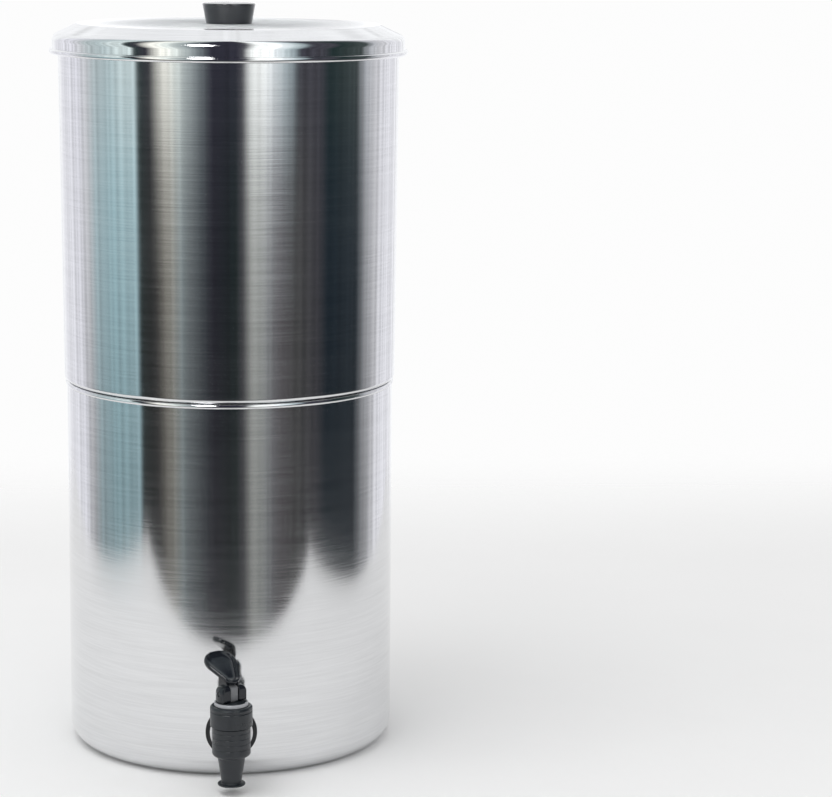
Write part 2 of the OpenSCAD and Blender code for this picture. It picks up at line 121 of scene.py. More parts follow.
class FilterFinish(bpy.types.PropertyGroup):
    """Colours and surface values of the filter's materials"""
    steel: colour("Steel", "Colour of the brushed sheet", (0.76, 0.765, 0.775))
    lid: colour("Lid steel", "Colour of the lid's sheet", (0.78, 0.785, 0.79))
    steel_roughness: share("Steel roughness", "Roughness of the brushed walls", 0.095)
    polish_roughness: share("Polish roughness", "Roughness of the rolled beads and the lid's skirt", 0.07)
    brushing: millimetres("Brushing", "Spacing of the brush lines", 0.9, 0.1, 10)
    knob: colour("Knob", "Colour of the lid's knob", (0.016, 0.018, 0.024))
    tap: colour("Tap", "Colour of the tap's body and bonnet", (0.013, 0.016, 0.020))
    lever: colour("Lever", "Colour of the glossy lever", (0.010, 0.012, 0.016))
    pale: colour("Pale plastic", "Colour of the ring on the bonnet", (0.38, 0.39, 0.41))
    # The stem's colour is its own grey with painted shade: it is darkened for the shade it sits in between the
    # lever's cheeks
    stem_grey_and_painted_shade: colour("Grey plastic", "Colour of the stem", (0.16, 0.165, 0.175))
    rubber: colour("Rubber", "Colour of the gaskets", (0.022, 0.022, 0.024))
    ceramic: colour("Ceramic", "Colour of the candles", (0.86, 0.84, 0.79))
    white: colour("White plastic", "Colour of the candle caps and wing nuts", (0.82, 0.82, 0.81))
    silicone: colour("Silicone", "Colour of the seals", (0.72, 0.73, 0.72))
    brass: colour("Brass", "Colour of the knob's thread", (0.70, 0.52, 0.26))


class FilterForms(bpy.types.PropertyGroup):
    """Sizes of the fine forms that the frame's boxes don't give"""
    sheet: millimetres("Sheet", "Thickness of the steel sheet", 0.8, 0.4, 1.2)
    base_round: millimetres("Base corner", "Outside radius between base and wall", 14, 8, 20)
    rim_bead: millimetres("Rim bead", "Radius of the rolled bead round each rim", 1.8, 1, 3)
    lower_proud: millimetres("Lower rim", "How far the lower rim stands out from its wall", 1, 0.5, 2)
    upper_proud: millimetres("Upper rim", "How far the upper rim stands out from its wall", 2.3, 1, 3)
    foot_round: millimetres("Foot edge", "Radius of the upper vessel's lower edge", 3.2, 2, 4)
    mouth_flare: millimetres("Flare", "How much the upper vessel widens towards its mouth", 1.9, 0, 4)
    plug_depth: millimetres("Plug", "Depth of the stepped plug below the ledge", 14, 10, 20)
    plug_gap: millimetres("Plug gap", "Gap between the plug and the lower rim", 0.9, 0.5, 1.5)
    plug_round: millimetres("Plug edge", "Radius of the plug's lower edge", 6, 3, 9)
    hem_bead: millimetres("Hem bead", "Radius of the bead at the lid's hem", 2.1, 1.5, 3)
    hem_proud: millimetres("Hem", "How far the hem stands out from the skirt", 2.3, 1.5, 3)
    shoulder: millimetres("Shoulder", "Radial width of the lid's sloping shoulder", 18.5, 15, 30)
    shoulder_rise: millimetres("Shoulder rise", "Height of the lid's top above its skirt", 12.5, 11, 16)
    brow_round: millimetres("Brow", "Radius where the skirt turns into the shoulder", 6.5, 5, 8)
    crest_round: millimetres("Crest", "Radius where the shoulder turns into the level top", 3.3, 2, 6)
    paddle_rise: angle("Paddle rise", "Angle that the paddle rises at rest", math.radians(33))
    paddle_length: millimetres("Paddle length", "Length of the paddle", 30.8, 27, 32)
    paddle_width: millimetres("Paddle width", "Width of the paddle", 24.6, 22, 28)
    paddle_thickness: millimetres("Paddle thickness", "Thickness of the paddle", 3.2, 2.5, 4)
    neck_width: millimetres("Neck width", "Width of the lever's neck", 9.8, 9, 13)


class FilterStudio(bpy.types.PropertyGroup):
    """The camera's place and the light round the filter"""
    camera_y: metres("Camera distance", "How far in front of the axis the camera stands", 2.0146, 0.5, 6.0)
    camera_z: metres("Camera height", "Height of the camera above the floor", 0.6154, 0.0, 3.0)
    pitch: angle("Pitch", "How far the camera looks down", 0.1769)
    yaw: angle("Yaw", "How far the camera turns to the right", 0.0685)
    roll: angle("Roll", "How far the camera tilts", 0.0087)
    focal: FloatProperty(name="Focal length", description="Focal length in pixels of the picture",
                         default=2750.6, min=100.0)
    table_front: metres("Table front", "Where the table ends in front of the axis", 0.48, 0.3, 2.0)
    table_left: metres("Table left", "Where the mirrored table ends on the left", 0.74, 0.3, 2.0)
    table_right: metres("Table right", "Where the mirrored table ends on the right", 0.66, 0.3, 2.0)
    table_half: metres("Floor half width", "Half the floor's width, and how far back it goes", 1.1, 0.5, 3.0)
    floor: colour("Floor", "Colour of the floor", (0.93, 0.93, 0.93))
    backdrop: colour("Backdrop", "Colour of the backdrop", (0.98, 0.98, 0.98))
    fill: share("Fill", "Level of the even light from all round", 0.80, 2.0)
    windows: share("Windows", "Level of the upper walls, with their two bright windows", 1.75, 10.0)
    foot_of_walls: share("Foot of the walls", "How much light the walls keep near the floor", 0.56)
    spot: share("Spot", "Level of the small lamp that the glossy plastic mirrors", 22.0, 100.0)
    lamp_power: FloatProperty(name="Lamp", description="Power of the soft lamp overhead", default=8.0,
                              min=0.0, subtype="POWER", unit="POWER")


# ---------------------------------------------------------------- nodes

def is_socket(value):
    return isinstance(value, bpy.types.NodeSocket)


def scaled(rgb, factor):
    return tuple(min(1.0, part * factor) for part in rgb)


class Net:
    """The node tree of a material or a world, with a short call for each kind of node used here."""

    def __init__(self, owner):
        owner.use_nodes = True
        self.tree = owner.node_tree
        self.tree.nodes.clear()

    def put(self, kind, inputs=None, **settings):
        """Adds one node. Inputs are values or the sockets that feed them."""
        node = self.tree.nodes.new(kind)
        for key, value in settings.items():
            setattr(node, key, value)
        for key, value in (inputs or {}).items():
            if is_socket(value):
                self.tree.links.new(value, node.inputs[key])
            else:
                node.inputs[key].default_value = value
        return node

    def maths(self, operation, *values):
        return self.put("ShaderNodeMath", dict(enumerate(values)), operation=operation).outputs[0]

    def add(self, *values):
        return self.maths("ADD", *values)

    def times(self, *values):
        return self.maths("MULTIPLY", *values)

    def minus(self, *values):
        return self.maths("SUBTRACT", *values)

    def larger(self, *values):
        return self.maths("MAXIMUM", *values)

    def vectors(self, operation, *values):
        return self.put("ShaderNodeVectorMath", dict(enumerate(values)), operation=operation).outputs

    def split(self, vector):
        return self.put("ShaderNodeSeparateXYZ", {0: vector}).outputs

    def spread(self, value, low, high, to_low=0.0, to_high=1.0, kind="SMOOTHSTEP"):
        """Maps a value from one range to another and holds it at the ends."""
        return self.put("ShaderNodeMapRange", {0: value, 1: low, 2: high, 3: to_low, 4: to_high},
                        interpolation_type=kind).outputs[0]

    def noise(self, vector, scale, detail=3.0, roughness=0.5):
        return self.put("ShaderNodeTexNoise", {"Vector": vector, "Scale": scale, "Detail": detail,
                                               "Roughness": roughness}).outputs["Fac"]

    def streaks(self, vector, stretch, detail=3.0, roughness=0.5):
        """Noise with its own scale along each axis."""
        return self.noise(self.vectors("MULTIPLY", vector, stretch)[0], 1.0, detail, roughness)

    def mixed(self, factor, first, second):
        """Mix of two colours, each a colour or a socket."""
        first, second = (value if is_socket(value) else (*value, 1.0) for value in (first, second))
        return self.put("ShaderNodeMix", {"Factor": factor, 6: first, 7: second}, data_type="RGBA").outputs[2]

    def between(self, factor, first, second):
        """Mix of two numbers."""
        return self.put("ShaderNodeMix", {"Factor": factor, 2: first, 3: second}).outputs[0]

    def either(self, factor, first, second):
        """Mix of two shaders."""
        return self.put("ShaderNodeMixShader", {0: factor, 1: first.outputs[0], 2: second.outputs[0]})

    def bumped(self, height, strength, distance, **under):
        return self.put("ShaderNodeBump", {"Height": height, "Strength": strength, "Distance": distance,
                                           **under}).outputs[0]


class Surface(Net):
    """A new material with a Principled shader, whose fixed values are set on its own sockets."""

    def __init__(self, name, **fixed):
        self.material = bpy.data.materials.new(name)
        super().__init__(self.material)
        inputs = {key.replace("_", " "): value for key, value in fixed.items()}
        self.shader = self.put("ShaderNodeBsdfPrincipled", inputs)
        self.put("ShaderNodeOutputMaterial", {"Surface": self.shader.outputs[0]})
        self.place = self.put("ShaderNodeTexCoord").outputs["Object"]

    def fed(self, **sockets):
        """Feeds the shader and gives the material."""
        for key, socket in sockets.items():
            self.tree.links.new(socket, self.shader.inputs[key.replace("_", " ")])
        return self.material


# ---------------------------------------------------------------- meshes

def arc(x, y, radius, start, end, steps=10):
    """Points of a round stretch about (x, y), with angles in degrees."""
    turns = [math.radians(start + (end - start) * i / steps) for i in range(steps + 1)]
    return [(x + radius * math.cos(turn), y + radius * math.sin(turn)) for turn in turns]


def meeting(run, radius):
    """Angle in degrees at which a round of that radius lies run beside its centre."""
    return math.degrees(math.acos(run / radius))


def touching(run, climb, first, second):
    """Angle in degrees at which one straight line touches two rounds, the second run and climb away."""
    return math.degrees(math.atan2(climb, run) - math.acos((first - second) / math.hypot(run, climb)))


def held(points, hold=0.5 * MM):
    """Adds a point near each end of a long straight stretch, so that smooth shading stays at its ends."""
    out = [points[0]]
    for a, b in zip(points, points[1:]):
        gap = math.dist(a, b)
        if gap > 5 * hold:
            for part in (hold / gap, 1 - hold / gap):
                out.append((a[0] + (b[0] - a[0]) * part, a[1] + (b[1] - a[1]) * part))
        out.append(b)
    return out


def smooth(thing, crease):
    thing.data.shade_smooth()
    thing.data.set_sharp_from_angle(angle=math.radians(crease))


def solid(name, form, crease=CREASE):
    """An object made from a bmesh, shaded smooth between its sharp edges."""
    bmesh.ops.delete(form, geom=[vert for vert in form.verts if not vert.link_faces], context="VERTS")
    bmesh.ops.recalc_face_normals(form, faces=form.faces)
    mesh = bpy.data.meshes.new(name)
    form.to_mesh(mesh)
    form.free()
    thing = bpy.data.objects.new(name, mesh)
    bpy.context.scene.collection.objects.link(thing)
    smooth(thing, crease)
    return thing


def turned(name, profile, place=Matrix(), sides=ROUND_SIDES, crease=CREASE, closed=False, radius_at=None):
    """The solid that a profile of (radius, height) points sweeps round place's Z axis.

    radius_at(radius, height, turn) may change the radius round the piece, as a thread does.
    """
    form = bmesh.new()
    rings = []
    for radius, height in profile:
        ring = []
        for i in range(sides if radius > 1e-7 else 1):
            turn = 2 * math.pi * i / sides
            r = radius_at(radius, height, turn) if radius_at else radius
            ring.append(form.verts.new(place @ Vector((r * math.cos(turn), r * math.sin(turn), height))))
        rings.append(ring)
    for low, high in zip(rings, rings[1:] + rings[:1] * closed):
        for i in range(sides):
            j = (i + 1) % sides
            if len(low) == 1 and len(high) > 1:
                form.faces.new((low[0], high[j], high[i]))
            elif len(high) == 1 and len(low) > 1:
                form.faces.new((low[i], low[j], high[0]))
            elif len(low) > 1:
                form.faces.new((low[i], low[j], high[j], high[i]))
    return solid(name, form, crease)


def ring(name, outer, inner, height, edge, place, foot=0.0, sides=ROUND_SIDES, crease=CREASE):
    """A flat ring with rounded edges, which starts at the height foot."""
    out, bore, low, high = outer - edge, inner + edge, foot + edge, foot + height - edge
    profile = []
    for i, (radius, level) in enumerate(((out, low), (out, high), (bore, high), (bore, low))):
        profile += arc(radius, level, edge, 90 * i - 90, 90 * i, steps=4)
    return turned(name, profile, place, sides, crease, closed=True)


def prism(name, outline, low, high, place):
    """The solid that an outline of (y, z) points fills from x = low to x = high."""
    form = bmesh.new()
    ends = [[form.verts.new(place @ Vector((x, y, z))) for y, z in outline] for x in (low, high)]
    form.faces.new(ends[0])
    form.faces.new(ends[1][::-1])
    for i in range(len(outline)):
        j = (i + 1) % len(outline)
        form.faces.new((ends[0][j], ends[0][i], ends[1][i], ends[1][j]))
    return solid(name, form)


def drill(radius, low, high, place=Matrix(), sides=64):
    """A round cutter along place's Z axis, turned a little so that its corners miss flat faces."""
    profile = [(0, low), (radius, low), (radius, high), (0, high)]
    return turned("cutter", profile, place @ CUTTER_TURN, sides)


def applied(thing, crease=CREASE):
    """Turns the object's modifiers into its mesh."""
    graph = bpy.context.evaluated_depsgraph_get()
    thing.data = bpy.data.meshes.new_from_object(thing.evaluated_get(graph))
    thing.modifiers.clear()
    smooth(thing, crease)
    return thing


def combined(thing, *steps):
    """Applies boolean steps, each ("DIFFERENCE", "INTERSECT" or "UNION", other), and removes the others."""
    for operation, other in steps:
        cut = thing.modifiers.new(operation.lower(), "BOOLEAN")
        cut.operation, cut.object, cut.solver = operation, other, "EXACT"
    applied(thing)
    for _, other in steps:
        bpy.data.objects.remove(other)
    return thing


def softened(thing, width, segments=2):
    """Rounds the edges that turn by more than 32 degrees."""
    bevel = thing.modifiers.new("soft_edges", "BEVEL")
    bevel.width, bevel.segments, bevel.limit_method = width, segments, "ANGLE"
    bevel.angle_limit = math.radians(32)
    bevel.use_clamp_overlap = True
    return applied(thing)


def moulded_edges(thing, fineness, rounds):
    """Gives a combined piece one even skin, whose edges and inner corners are slightly rounded."""
    skin = thing.modifiers.new("skin", "REMESH")
    skin.mode, skin.voxel_size = "VOXEL", fineness
    even = thing.modifiers.new("even", "SMOOTH")
    even.factor, even.iterations = 0.5, rounds
    return applied(thing, SOFT_CREASE)


def threaded(radius, low, high, pitch):
    """Profile points close enough together to carry a thread between two heights."""
    count = max(2, round((high - low) / pitch * 8))
    return [(radius, low + (high - low) * i / count) for i in range(count + 1)]


def thread(low, high, pitch, depth):
    """The radius of a rounded thread, as turned() wants it, fading out over one pitch at both ends."""
    def radius_at(radius, height, turn):
        if not low <= height <= high:
            return radius
        fade = min(1.0, (height - low) / pitch, (high - height) / pitch)
        wave = 0.5 - 0.5 * math.cos(2 * math.pi * height / pitch - turn)
        return radius - depth * fade * (1 - wave ** 0.7)
    return radius_at


def raised(place, height):
    return place @ Matrix.Translation((0.0, 0.0, height))


def middle(node):
    """Upright axis of a CAD node: a placing matrix at its foot, its radius and its height."""
    low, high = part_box(node)
    place = Matrix.Translation(((low.x + high.x) / 2, (low.y + high.y) / 2, low.z))
    return place, (high.x - low.x) / 2, high.z - low.z


def shank_height():
    low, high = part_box("lock_nut")
    return (low.z + high.z) / 2


def on_shank(node):
    """Axis of a piece on the tap's shank: Z runs out of the wall, from the node's inner face."""
    low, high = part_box(node)
    return Matrix.Translation((0.0, high.y, shank_height())) @ OUTWARDS, high.y - low.y


def stands_for(thing, material, node):
    """The piece takes the CAD node's place: its body and its finish."""
    thing.data.materials.clear()
    thing.data.materials.append(material)
    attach(thing, BODY[node])
    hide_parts(node)
    return thing


# ---------------------------------------------------------------- materials

def brushed_steel(name, finish, rgb, polished, turned_top=False):
    """Sheet steel brushed round the vertical axis. polished is the height range of a polished band.

    With turned_top, the brush lines also run round the centre of the level top.
    """
    net = Surface(name, Metallic=1.0, Anisotropic=0.45, Anisotropic_Rotation=0.25)
    tangent = net.put("ShaderNodeTangent", direction_type="RADIAL", axis="Z").outputs[0]
    x, y, z = net.split(net.place)
    across = z
    if turned_top:
        radius = net.maths("SQRT", net.add(net.times(x, x), net.times(y, y)))
        across = net.minus(z, radius)
    lines = net.put("ShaderNodeCombineXYZ", {0: x, 1: y, 2: across}).outputs[0]
    pitch = 1.0 / finish.brushing
    fine = net.streaks(lines, (22.0, 22.0, pitch), 4.0, 0.62)
    coarse = net.streaks(lines, (10.0, 10.0, pitch * 0.2), 3.0, 0.55)
    smears = net.streaks(net.place, (9.0, 9.0, 14.0))
    sway = net.streaks(net.place, (7.0, 7.0, 2.2), 1.0)
    grain = net.add(net.times(fine, 0.65), net.times(coarse, 0.35))

    base = net.mixed(net.spread(grain, 0.32, 0.68), scaled(rgb, 0.93), scaled(rgb, 1.04))
    base = net.mixed(net.spread(smears, 0.58, 0.75, 0.0, 0.3), base, scaled(rgb, 0.94))
    low, high = polished
    band = net.times(net.spread(z, low, low + MM), net.spread(z, high, high + MM, 1.0, 0.0))
    uneven = net.add(net.spread(grain, 0.3, 0.7, -0.02, 0.02), net.spread(smears, 0.4, 0.75, 0.0, 0.03))
    rough = net.add(finish.steel_roughness, uneven)
    if turned_top:
        rough = net.add(rough, net.spread(radius, 0.04, 0.115, 0.62, 0.0))
    rough = net.between(band, rough, finish.polish_roughness)
    strength = net.times(net.minus(1.0, net.times(band, 0.9)), 0.24)
    brushed = net.bumped(grain, strength, 0.04 * MM)
    rolled = net.bumped(sway, 1.0, 0.4 * MM, Normal=brushed)
    return net.fed(Base_Color=base, Roughness=rough, Normal=rolled, Tangent=tangent)


def bright_metal(name, rgb, roughness):
    """Turned and plated fittings, with fine machining lines and dull patches."""
    net = Surface(name, Metallic=1.0)
    lines = net.streaks(net.place, (400.0, 400.0, 2600.0), 2.0)
    patches = net.noise(net.place, 160.0, 3.0)
    base = net.mixed(net.spread(patches, 0.35, 0.7), rgb, scaled(rgb, 0.86))
    rough = net.add(roughness, net.spread(lines, 0.3, 0.7, -0.04, 0.06))
    return net.fed(Base_Color=base, Roughness=rough, Normal=net.bumped(lines, 0.2, 0.02 * MM))


def moulded(name, rgb, roughness, grain=0.25, specular=0.5, lift=1.6, flow=1.0, coat=0.0):
    """Moulded plastic: a fine grain, slight flow marks and paler scuffs."""
    net = Surface(name, Specular_IOR_Level=specular, Coat_Weight=coat, Coat_Roughness=0.06)
    fine = net.noise(net.place, 2600.0, 2.0)
    marks = net.streaks(net.place, (60.0, 60.0, 150.0), 4.0, 0.6)
    scuffs = net.streaks(net.place, (330.0, 330.0, 90.0), 5.0, 0.7)
    base = net.mixed(net.spread(marks, 0.35, 0.7), rgb, scaled(rgb, 1.0 + 0.25 * flow))
    base = net.mixed(net.spread(scuffs, 0.60, 0.80, 0.0, 0.45), base, scaled(rgb, lift))
    uneven = net.add(net.spread(marks, 0.3, 0.7, -0.04, 0.05), net.spread(scuffs, 0.55, 0.8, 0.0, 0.10))
    rough = net.add(roughness, uneven)
    return net.fed(Base_Color=base, Roughness=rough, Normal=net.bumped(fine, grain, 0.03 * MM))


def fired_ceramic(name, rgb):
    """Unglazed ceramic: chalky, with pores and faint stains."""
    net = Surface(name, Specular_IOR_Level=0.25)
    pores = net.put("ShaderNodeTexVoronoi", {"Vector": net.place, "Scale": 900.0}).outputs["Distance"]
    clouds = net.noise(net.place, 45.0, 5.0, 0.6)
    base = net.mixed(net.spread(clouds, 0.35, 0.72), rgb, scaled(rgb, 0.90))
    return net.fed(Base_Color=base, Roughness=net.spread(clouds, 0.3, 0.7, 0.72, 0.88),
                   Normal=net.bumped(net.spread(pores, 0.0, 0.35), 0.4, 0.1 * MM))


def soft_rubber(name, rgb, roughness):
    """Rubber and silicone: satin, with a dusty bloom."""
    net = Surface(name, Specular_IOR_Level=0.4, Sheen_Weight=0.08)
    bloom = net.noise(net.place, 220.0, 4.0, 0.6)
    base = net.mixed(net.spread(bloom, 0.45, 0.75), rgb, scaled(rgb, 1.25))
    rough = net.spread(bloom, 0.3, 0.7, roughness - 0.08, roughness + 0.08)
    return net.fed(Base_Color=base, Roughness=rough,
                   Normal=net.bumped(net.noise(net.place, 1800.0), 0.2, 0.03 * MM))


def dress(material, *names):
    """Gives CAD nodes a finish in place of the plain one that they come with."""
    for name in names:
        node = NODE[name]
        node.data.materials.clear()
        node.data.materials.append(material)


# ---------------------------------------------------------------- camera and studio

class FilterOperator:
    bl_options = {"REGISTER", "UNDO"}


class FILTER_OT_camera(FilterOperator, bpy.types.Operator):
    """Puts the camera at the photograph's angle"""
    bl_idname = "filter.camera"
    bl_label = "Camera"

    def execute(self, context):
        studio = context.scene.filter_studio
        sin_p, cos_p = math.sin(studio.pitch), math.cos(studio.pitch)
        sin_y, cos_y = math.sin(studio.yaw), math.cos(studio.yaw)
        sin_r, cos_r = math.sin(studio.roll), math.cos(studio.roll)
        right = Vector((cos_y, -sin_y, 0.0))
        ahead = Vector((sin_y * cos_p, cos_y * cos_p, -sin_p))
        up = Vector((sin_y * sin_p, cos_y * sin_p, cos_p))
        right, up = right * cos_r + up * sin_r, up * cos_r - right * sin_r
        camera = bpy.data.objects.new("camera", bpy.data.cameras.new("camera"))
        look = Matrix((right, up, -ahead)).transposed().to_4x4()
        camera.matrix_world = Matrix.Translation((0.0, -studio.camera_y, studio.camera_z)) @ look
        camera.data.sensor_width = SENSOR_WIDTH
        camera.data.lens = studio.focal / PHOTO_WIDTH * SENSOR_WIDTH
        context.scene.collection.objects.link(camera)
        context.scene.camera = camera
        return {"FINISHED"}


# What the steel mirrors, by compass angle in degrees: 0 is towards the camera, + is to the right.
# Pale walls on both sides and behind, dark flags, and the camera's own dark corner in front.
# Each row is an angle, then red, green and blue in per cent.
STUDIO_WALLS = (
    (-180, 94, 94, 98), (-150, 94, 94, 99), (-122, 84, 84, 90), (-111, 70, 71, 74), (-102, 44, 57, 61),
    (-86, 38, 57, 62), (-72, 40, 59, 64), (-66, 42, 60, 65), (-63, 3, 4, 4), (-51, 4, 4, 4),
    (-45, 18, 17, 15), (-40, 36, 35, 31), (-33, 28, 33, 34), (-27, 16, 18, 19), (-18, 6, 7, 8),
    (-12, 2, 2, 3), (4, 1, 2, 2), (9, 8, 8, 9), (14, 42, 43, 41), (20, 46, 48, 46),
    (26, 26, 27, 28), (34, 13, 12, 13), (46, 8, 8, 8), (62, 6, 6, 7), (70, 1, 2, 3),
    (97, 3, 4, 5), (106, 36, 37, 39), (116, 68, 68, 71), (128, 88, 88, 93), (180, 94, 94, 98),
)

# The same walls higher up, where two bright windows stand in them, as shares of their level
WINDOW_WALLS = (
    (-180, 56, 56, 58), (-122, 50, 50, 54), (-111, 43, 44, 46), (-102, 32, 36, 37), (-86, 33, 39, 40),
    (-76, 46, 52, 52), (-66, 44, 50, 50), (-63, 2, 3, 3), (-54, 3, 3, 4), (-49, 40, 40, 37),
    (-42, 80, 80, 74), (-36, 62, 66, 63), (-28, 34, 38, 38), (-20, 14, 16, 17), (-12, 2, 2, 3),
    (5, 2, 2, 3), (9, 6, 6, 7), (13, 66, 68, 67), (22, 90, 92, 91), (30, 64, 68, 70),
    (37, 38, 44, 46), (43, 20, 24, 26), (47, 3, 3, 4), (63, 4, 4, 5), (70, 1, 2, 2),
    (95, 4, 5, 5), (104, 30, 31, 33), (116, 42, 42, 44), (128, 51, 51, 54), (180, 56, 56, 58),
)

PANEL_SLOPE = 0.5               # the front walls lean over the filter by this much
CEILING = (1.04, 1.05, 1.07)    # colour of the panel behind them
SPOT_TURN, SPOT_RISE = math.radians(-22), math.radians(46)    # where the small lamp hangs
SPOT_RADIUS = 8                 # degrees
SPOT_CORE = 0.6                 # share of the radius that is fully bright
FLOOR_LEVEL = -0.2 * MM
SIDE_BLUR = 0.03                # how softly the mirrored table ends at its sides, in metres


class FILTER_OT_stage(FilterOperator, bpy.types.Operator):
    """Lays the pale floor and sets the soft studio light"""
    bl_idname = "filter.stage"
    bl_label = "Floor and light"

    def paper(self, studio):
        """Matt and pale, and clear towards the backdrop. The steel mirrors a table with straight sides."""
        material = bpy.data.materials.new("pale_floor")
        net = Net(material)
        place = net.put("ShaderNodeTexCoord").outputs["Object"]
        x, y, _ = net.split(place)
        tone = net.mixed(net.noise(place, 9.0, 2.0), scaled(studio.floor, 0.99), scaled(studio.floor, 1.01))
        matt = net.put("ShaderNodeBsdfDiffuse", {"Color": tone})
        clear = net.put("ShaderNodeBsdfTransparent")
        half, left, right = studio.table_half, -studio.table_left, studio.table_right
        soft = net.spread(net.larger(net.maths("ABSOLUTE", x), y), 0.45 * half, 0.98 * half)
        past_left = net.spread(x, left, left + SIDE_BLUR, 1.0, 0.0)
        past_right = net.spread(x, right - SIDE_BLUR, right)
        crisp = net.larger(net.larger(past_left, past_right), soft)
        mirrored = net.put("ShaderNodeLightPath").outputs["Is Glossy Ray"]
        mix = net.either(net.between(mirrored, soft, crisp), matt, clear)
        net.put("ShaderNodeOutputMaterial", {"Surface": mix.outputs[0]})
        return material

    def floor(self, studio):
        """A level sheet with a straight front edge, which fades into the backdrop at its other borders."""
        half, front = studio.table_half, studio.table_front
        form = bmesh.new()
        corners = [(-half, -front), (half, -front), (half, half), (-half, half)]
        form.faces.new([form.verts.new((x, y, FLOOR_LEVEL)) for x, y in corners])
        floor = solid("floor", form)
        floor.data.materials.append(self.paper(studio))

    def wall_ramp(self, net, part, walls):
        ramp = net.put("ShaderNodeValToRGB", {"Fac": part})
        stops = ramp.color_ramp.elements
        while len(stops) < len(walls):
            stops.new(0.5)
        for stop, (compass, *rgb) in zip(stops, walls):
            stop.position = compass / 360.0 + 0.5
            stop.color = (*(part / 100 for part in rgb), 1.0)
        return ramp.outputs[0]

    def walls(self, net, turn, y, z, studio):
        """The walls by compass angle, with the windows above, and the ceiling panel over them."""
        part = net.spread(turn, -math.pi, math.pi, kind="LINEAR")
        low_walls, high_walls = (self.wall_ramp(net, part, walls) for walls in (STUDIO_WALLS, WINDOW_WALLS))
        high_walls = net.put("ShaderNodeVectorMath", {0: high_walls, "Scale": studio.windows},
                             operation="SCALE").outputs[0]
        walls = net.mixed(net.spread(z, -0.125, -0.05), low_walls, high_walls)
        return net.mixed(net.spread(y, 0.86, 0.97), walls, CEILING)

    def glow(self, net, ray, z, studio):
        """Light that lies over the walls: the floor's haze and one small lamp."""
        haze = net.spread(z, -0.32, -0.16, 0.095, 0.0)
        aim = (math.sin(SPOT_TURN) * math.cos(SPOT_RISE), -math.cos(SPOT_TURN) * math.cos(SPOT_RISE),
               math.sin(SPOT_RISE))
        near = net.vectors("DOT_PRODUCT", ray, aim)["Value"]
        rim, core = (math.cos(math.radians(SPOT_RADIUS * part)) for part in (1.0, SPOT_CORE))
        return net.add(haze, net.times(net.spread(near, rim, core), studio.spot))

    def level(self, net, turn, z, studio):
        """The walls' light: a little uneven, and less near the floor, except behind the filter."""
        streaks = net.put("ShaderNodeTexNoise", {"W": net.times(turn, 16.0), "Scale": 1.0, "Detail": 3.0,
                                                 "Roughness": 0.65}, noise_dimensions="1D").outputs["Fac"]
        behind = net.spread(net.maths("ABSOLUTE", turn), math.radians(95), math.radians(125))
        dim = net.spread(z, -0.25, -0.10, studio.foot_of_walls, 1.0)
        return net.times(net.larger(behind, dim), net.spread(streaks, 0.3, 0.7, 0.78, 1.2))

    def world(self, context, studio):
        """An even light for the matt surfaces, mirrored walls for the glossy ones, and a pale backdrop."""
        world = bpy.data.worlds.new("studio")
        net = Net(world)
        ray = net.put("ShaderNodeTexCoord").outputs["Generated"]
        x, y, z = net.split(ray)
        overhead = net.times(net.larger(z, 0.0), PANEL_SLOPE)
        turn = net.maths("ARCTAN2", x, net.minus(overhead, y))
        walls = self.walls(net, turn, net.add(y, overhead), z, studio)
        mirrored = net.vectors("ADD", walls, self.glow(net, ray, z, studio))[0]
        even = net.put("ShaderNodeBackground", {"Color": (1.0, 1.0, 1.0, 1.0), "Strength": studio.fill})
        shown = net.put("ShaderNodeBackground", {"Color": (*studio.backdrop, 1.0), "Strength": 1.0})
        room = net.put("ShaderNodeBackground", {"Color": mirrored,
                                                "Strength": self.level(net, turn, z, studio)})
        path = net.put("ShaderNodeLightPath").outputs
        mix = net.either(path["Is Camera Ray"], net.either(path["Is Glossy Ray"], even, room), shown)
        net.put("ShaderNodeOutputWorld", {"Surface": mix.outputs[0]})
        context.scene.world = world

    def lamp(self, context, studio):
        """A soft lamp overhead, which nothing mirrors."""
        light = bpy.data.lights.new("overhead", "AREA")
        light.shape, light.size, light.size_y = "RECTANGLE", 1.2, 1.0
        light.energy = studio.lamp_power
        lamp = bpy.data.objects.new("overhead", light)
        lamp.location = (-0.5, -0.5, 1.7)
        aimed_at = Vector((0.0, 0.0, 0.25))
        lamp.rotation_euler = (aimed_at - lamp.location).to_track_quat("-Z", "Y").to_euler()
        lamp.visible_glossy = False
        lamp.visible_camera = False
        context.scene.collection.objects.link(lamp)

    def execute(self, context):
        studio = context.scene.filter_studio
        self.floor(studio)
        self.world(context, studio)
        self.lamp(context, studio)
        context.scene.view_settings.view_transform = "Standard"
        return {"FINISHED"}


# ---------------------------------------------------------------- pieces

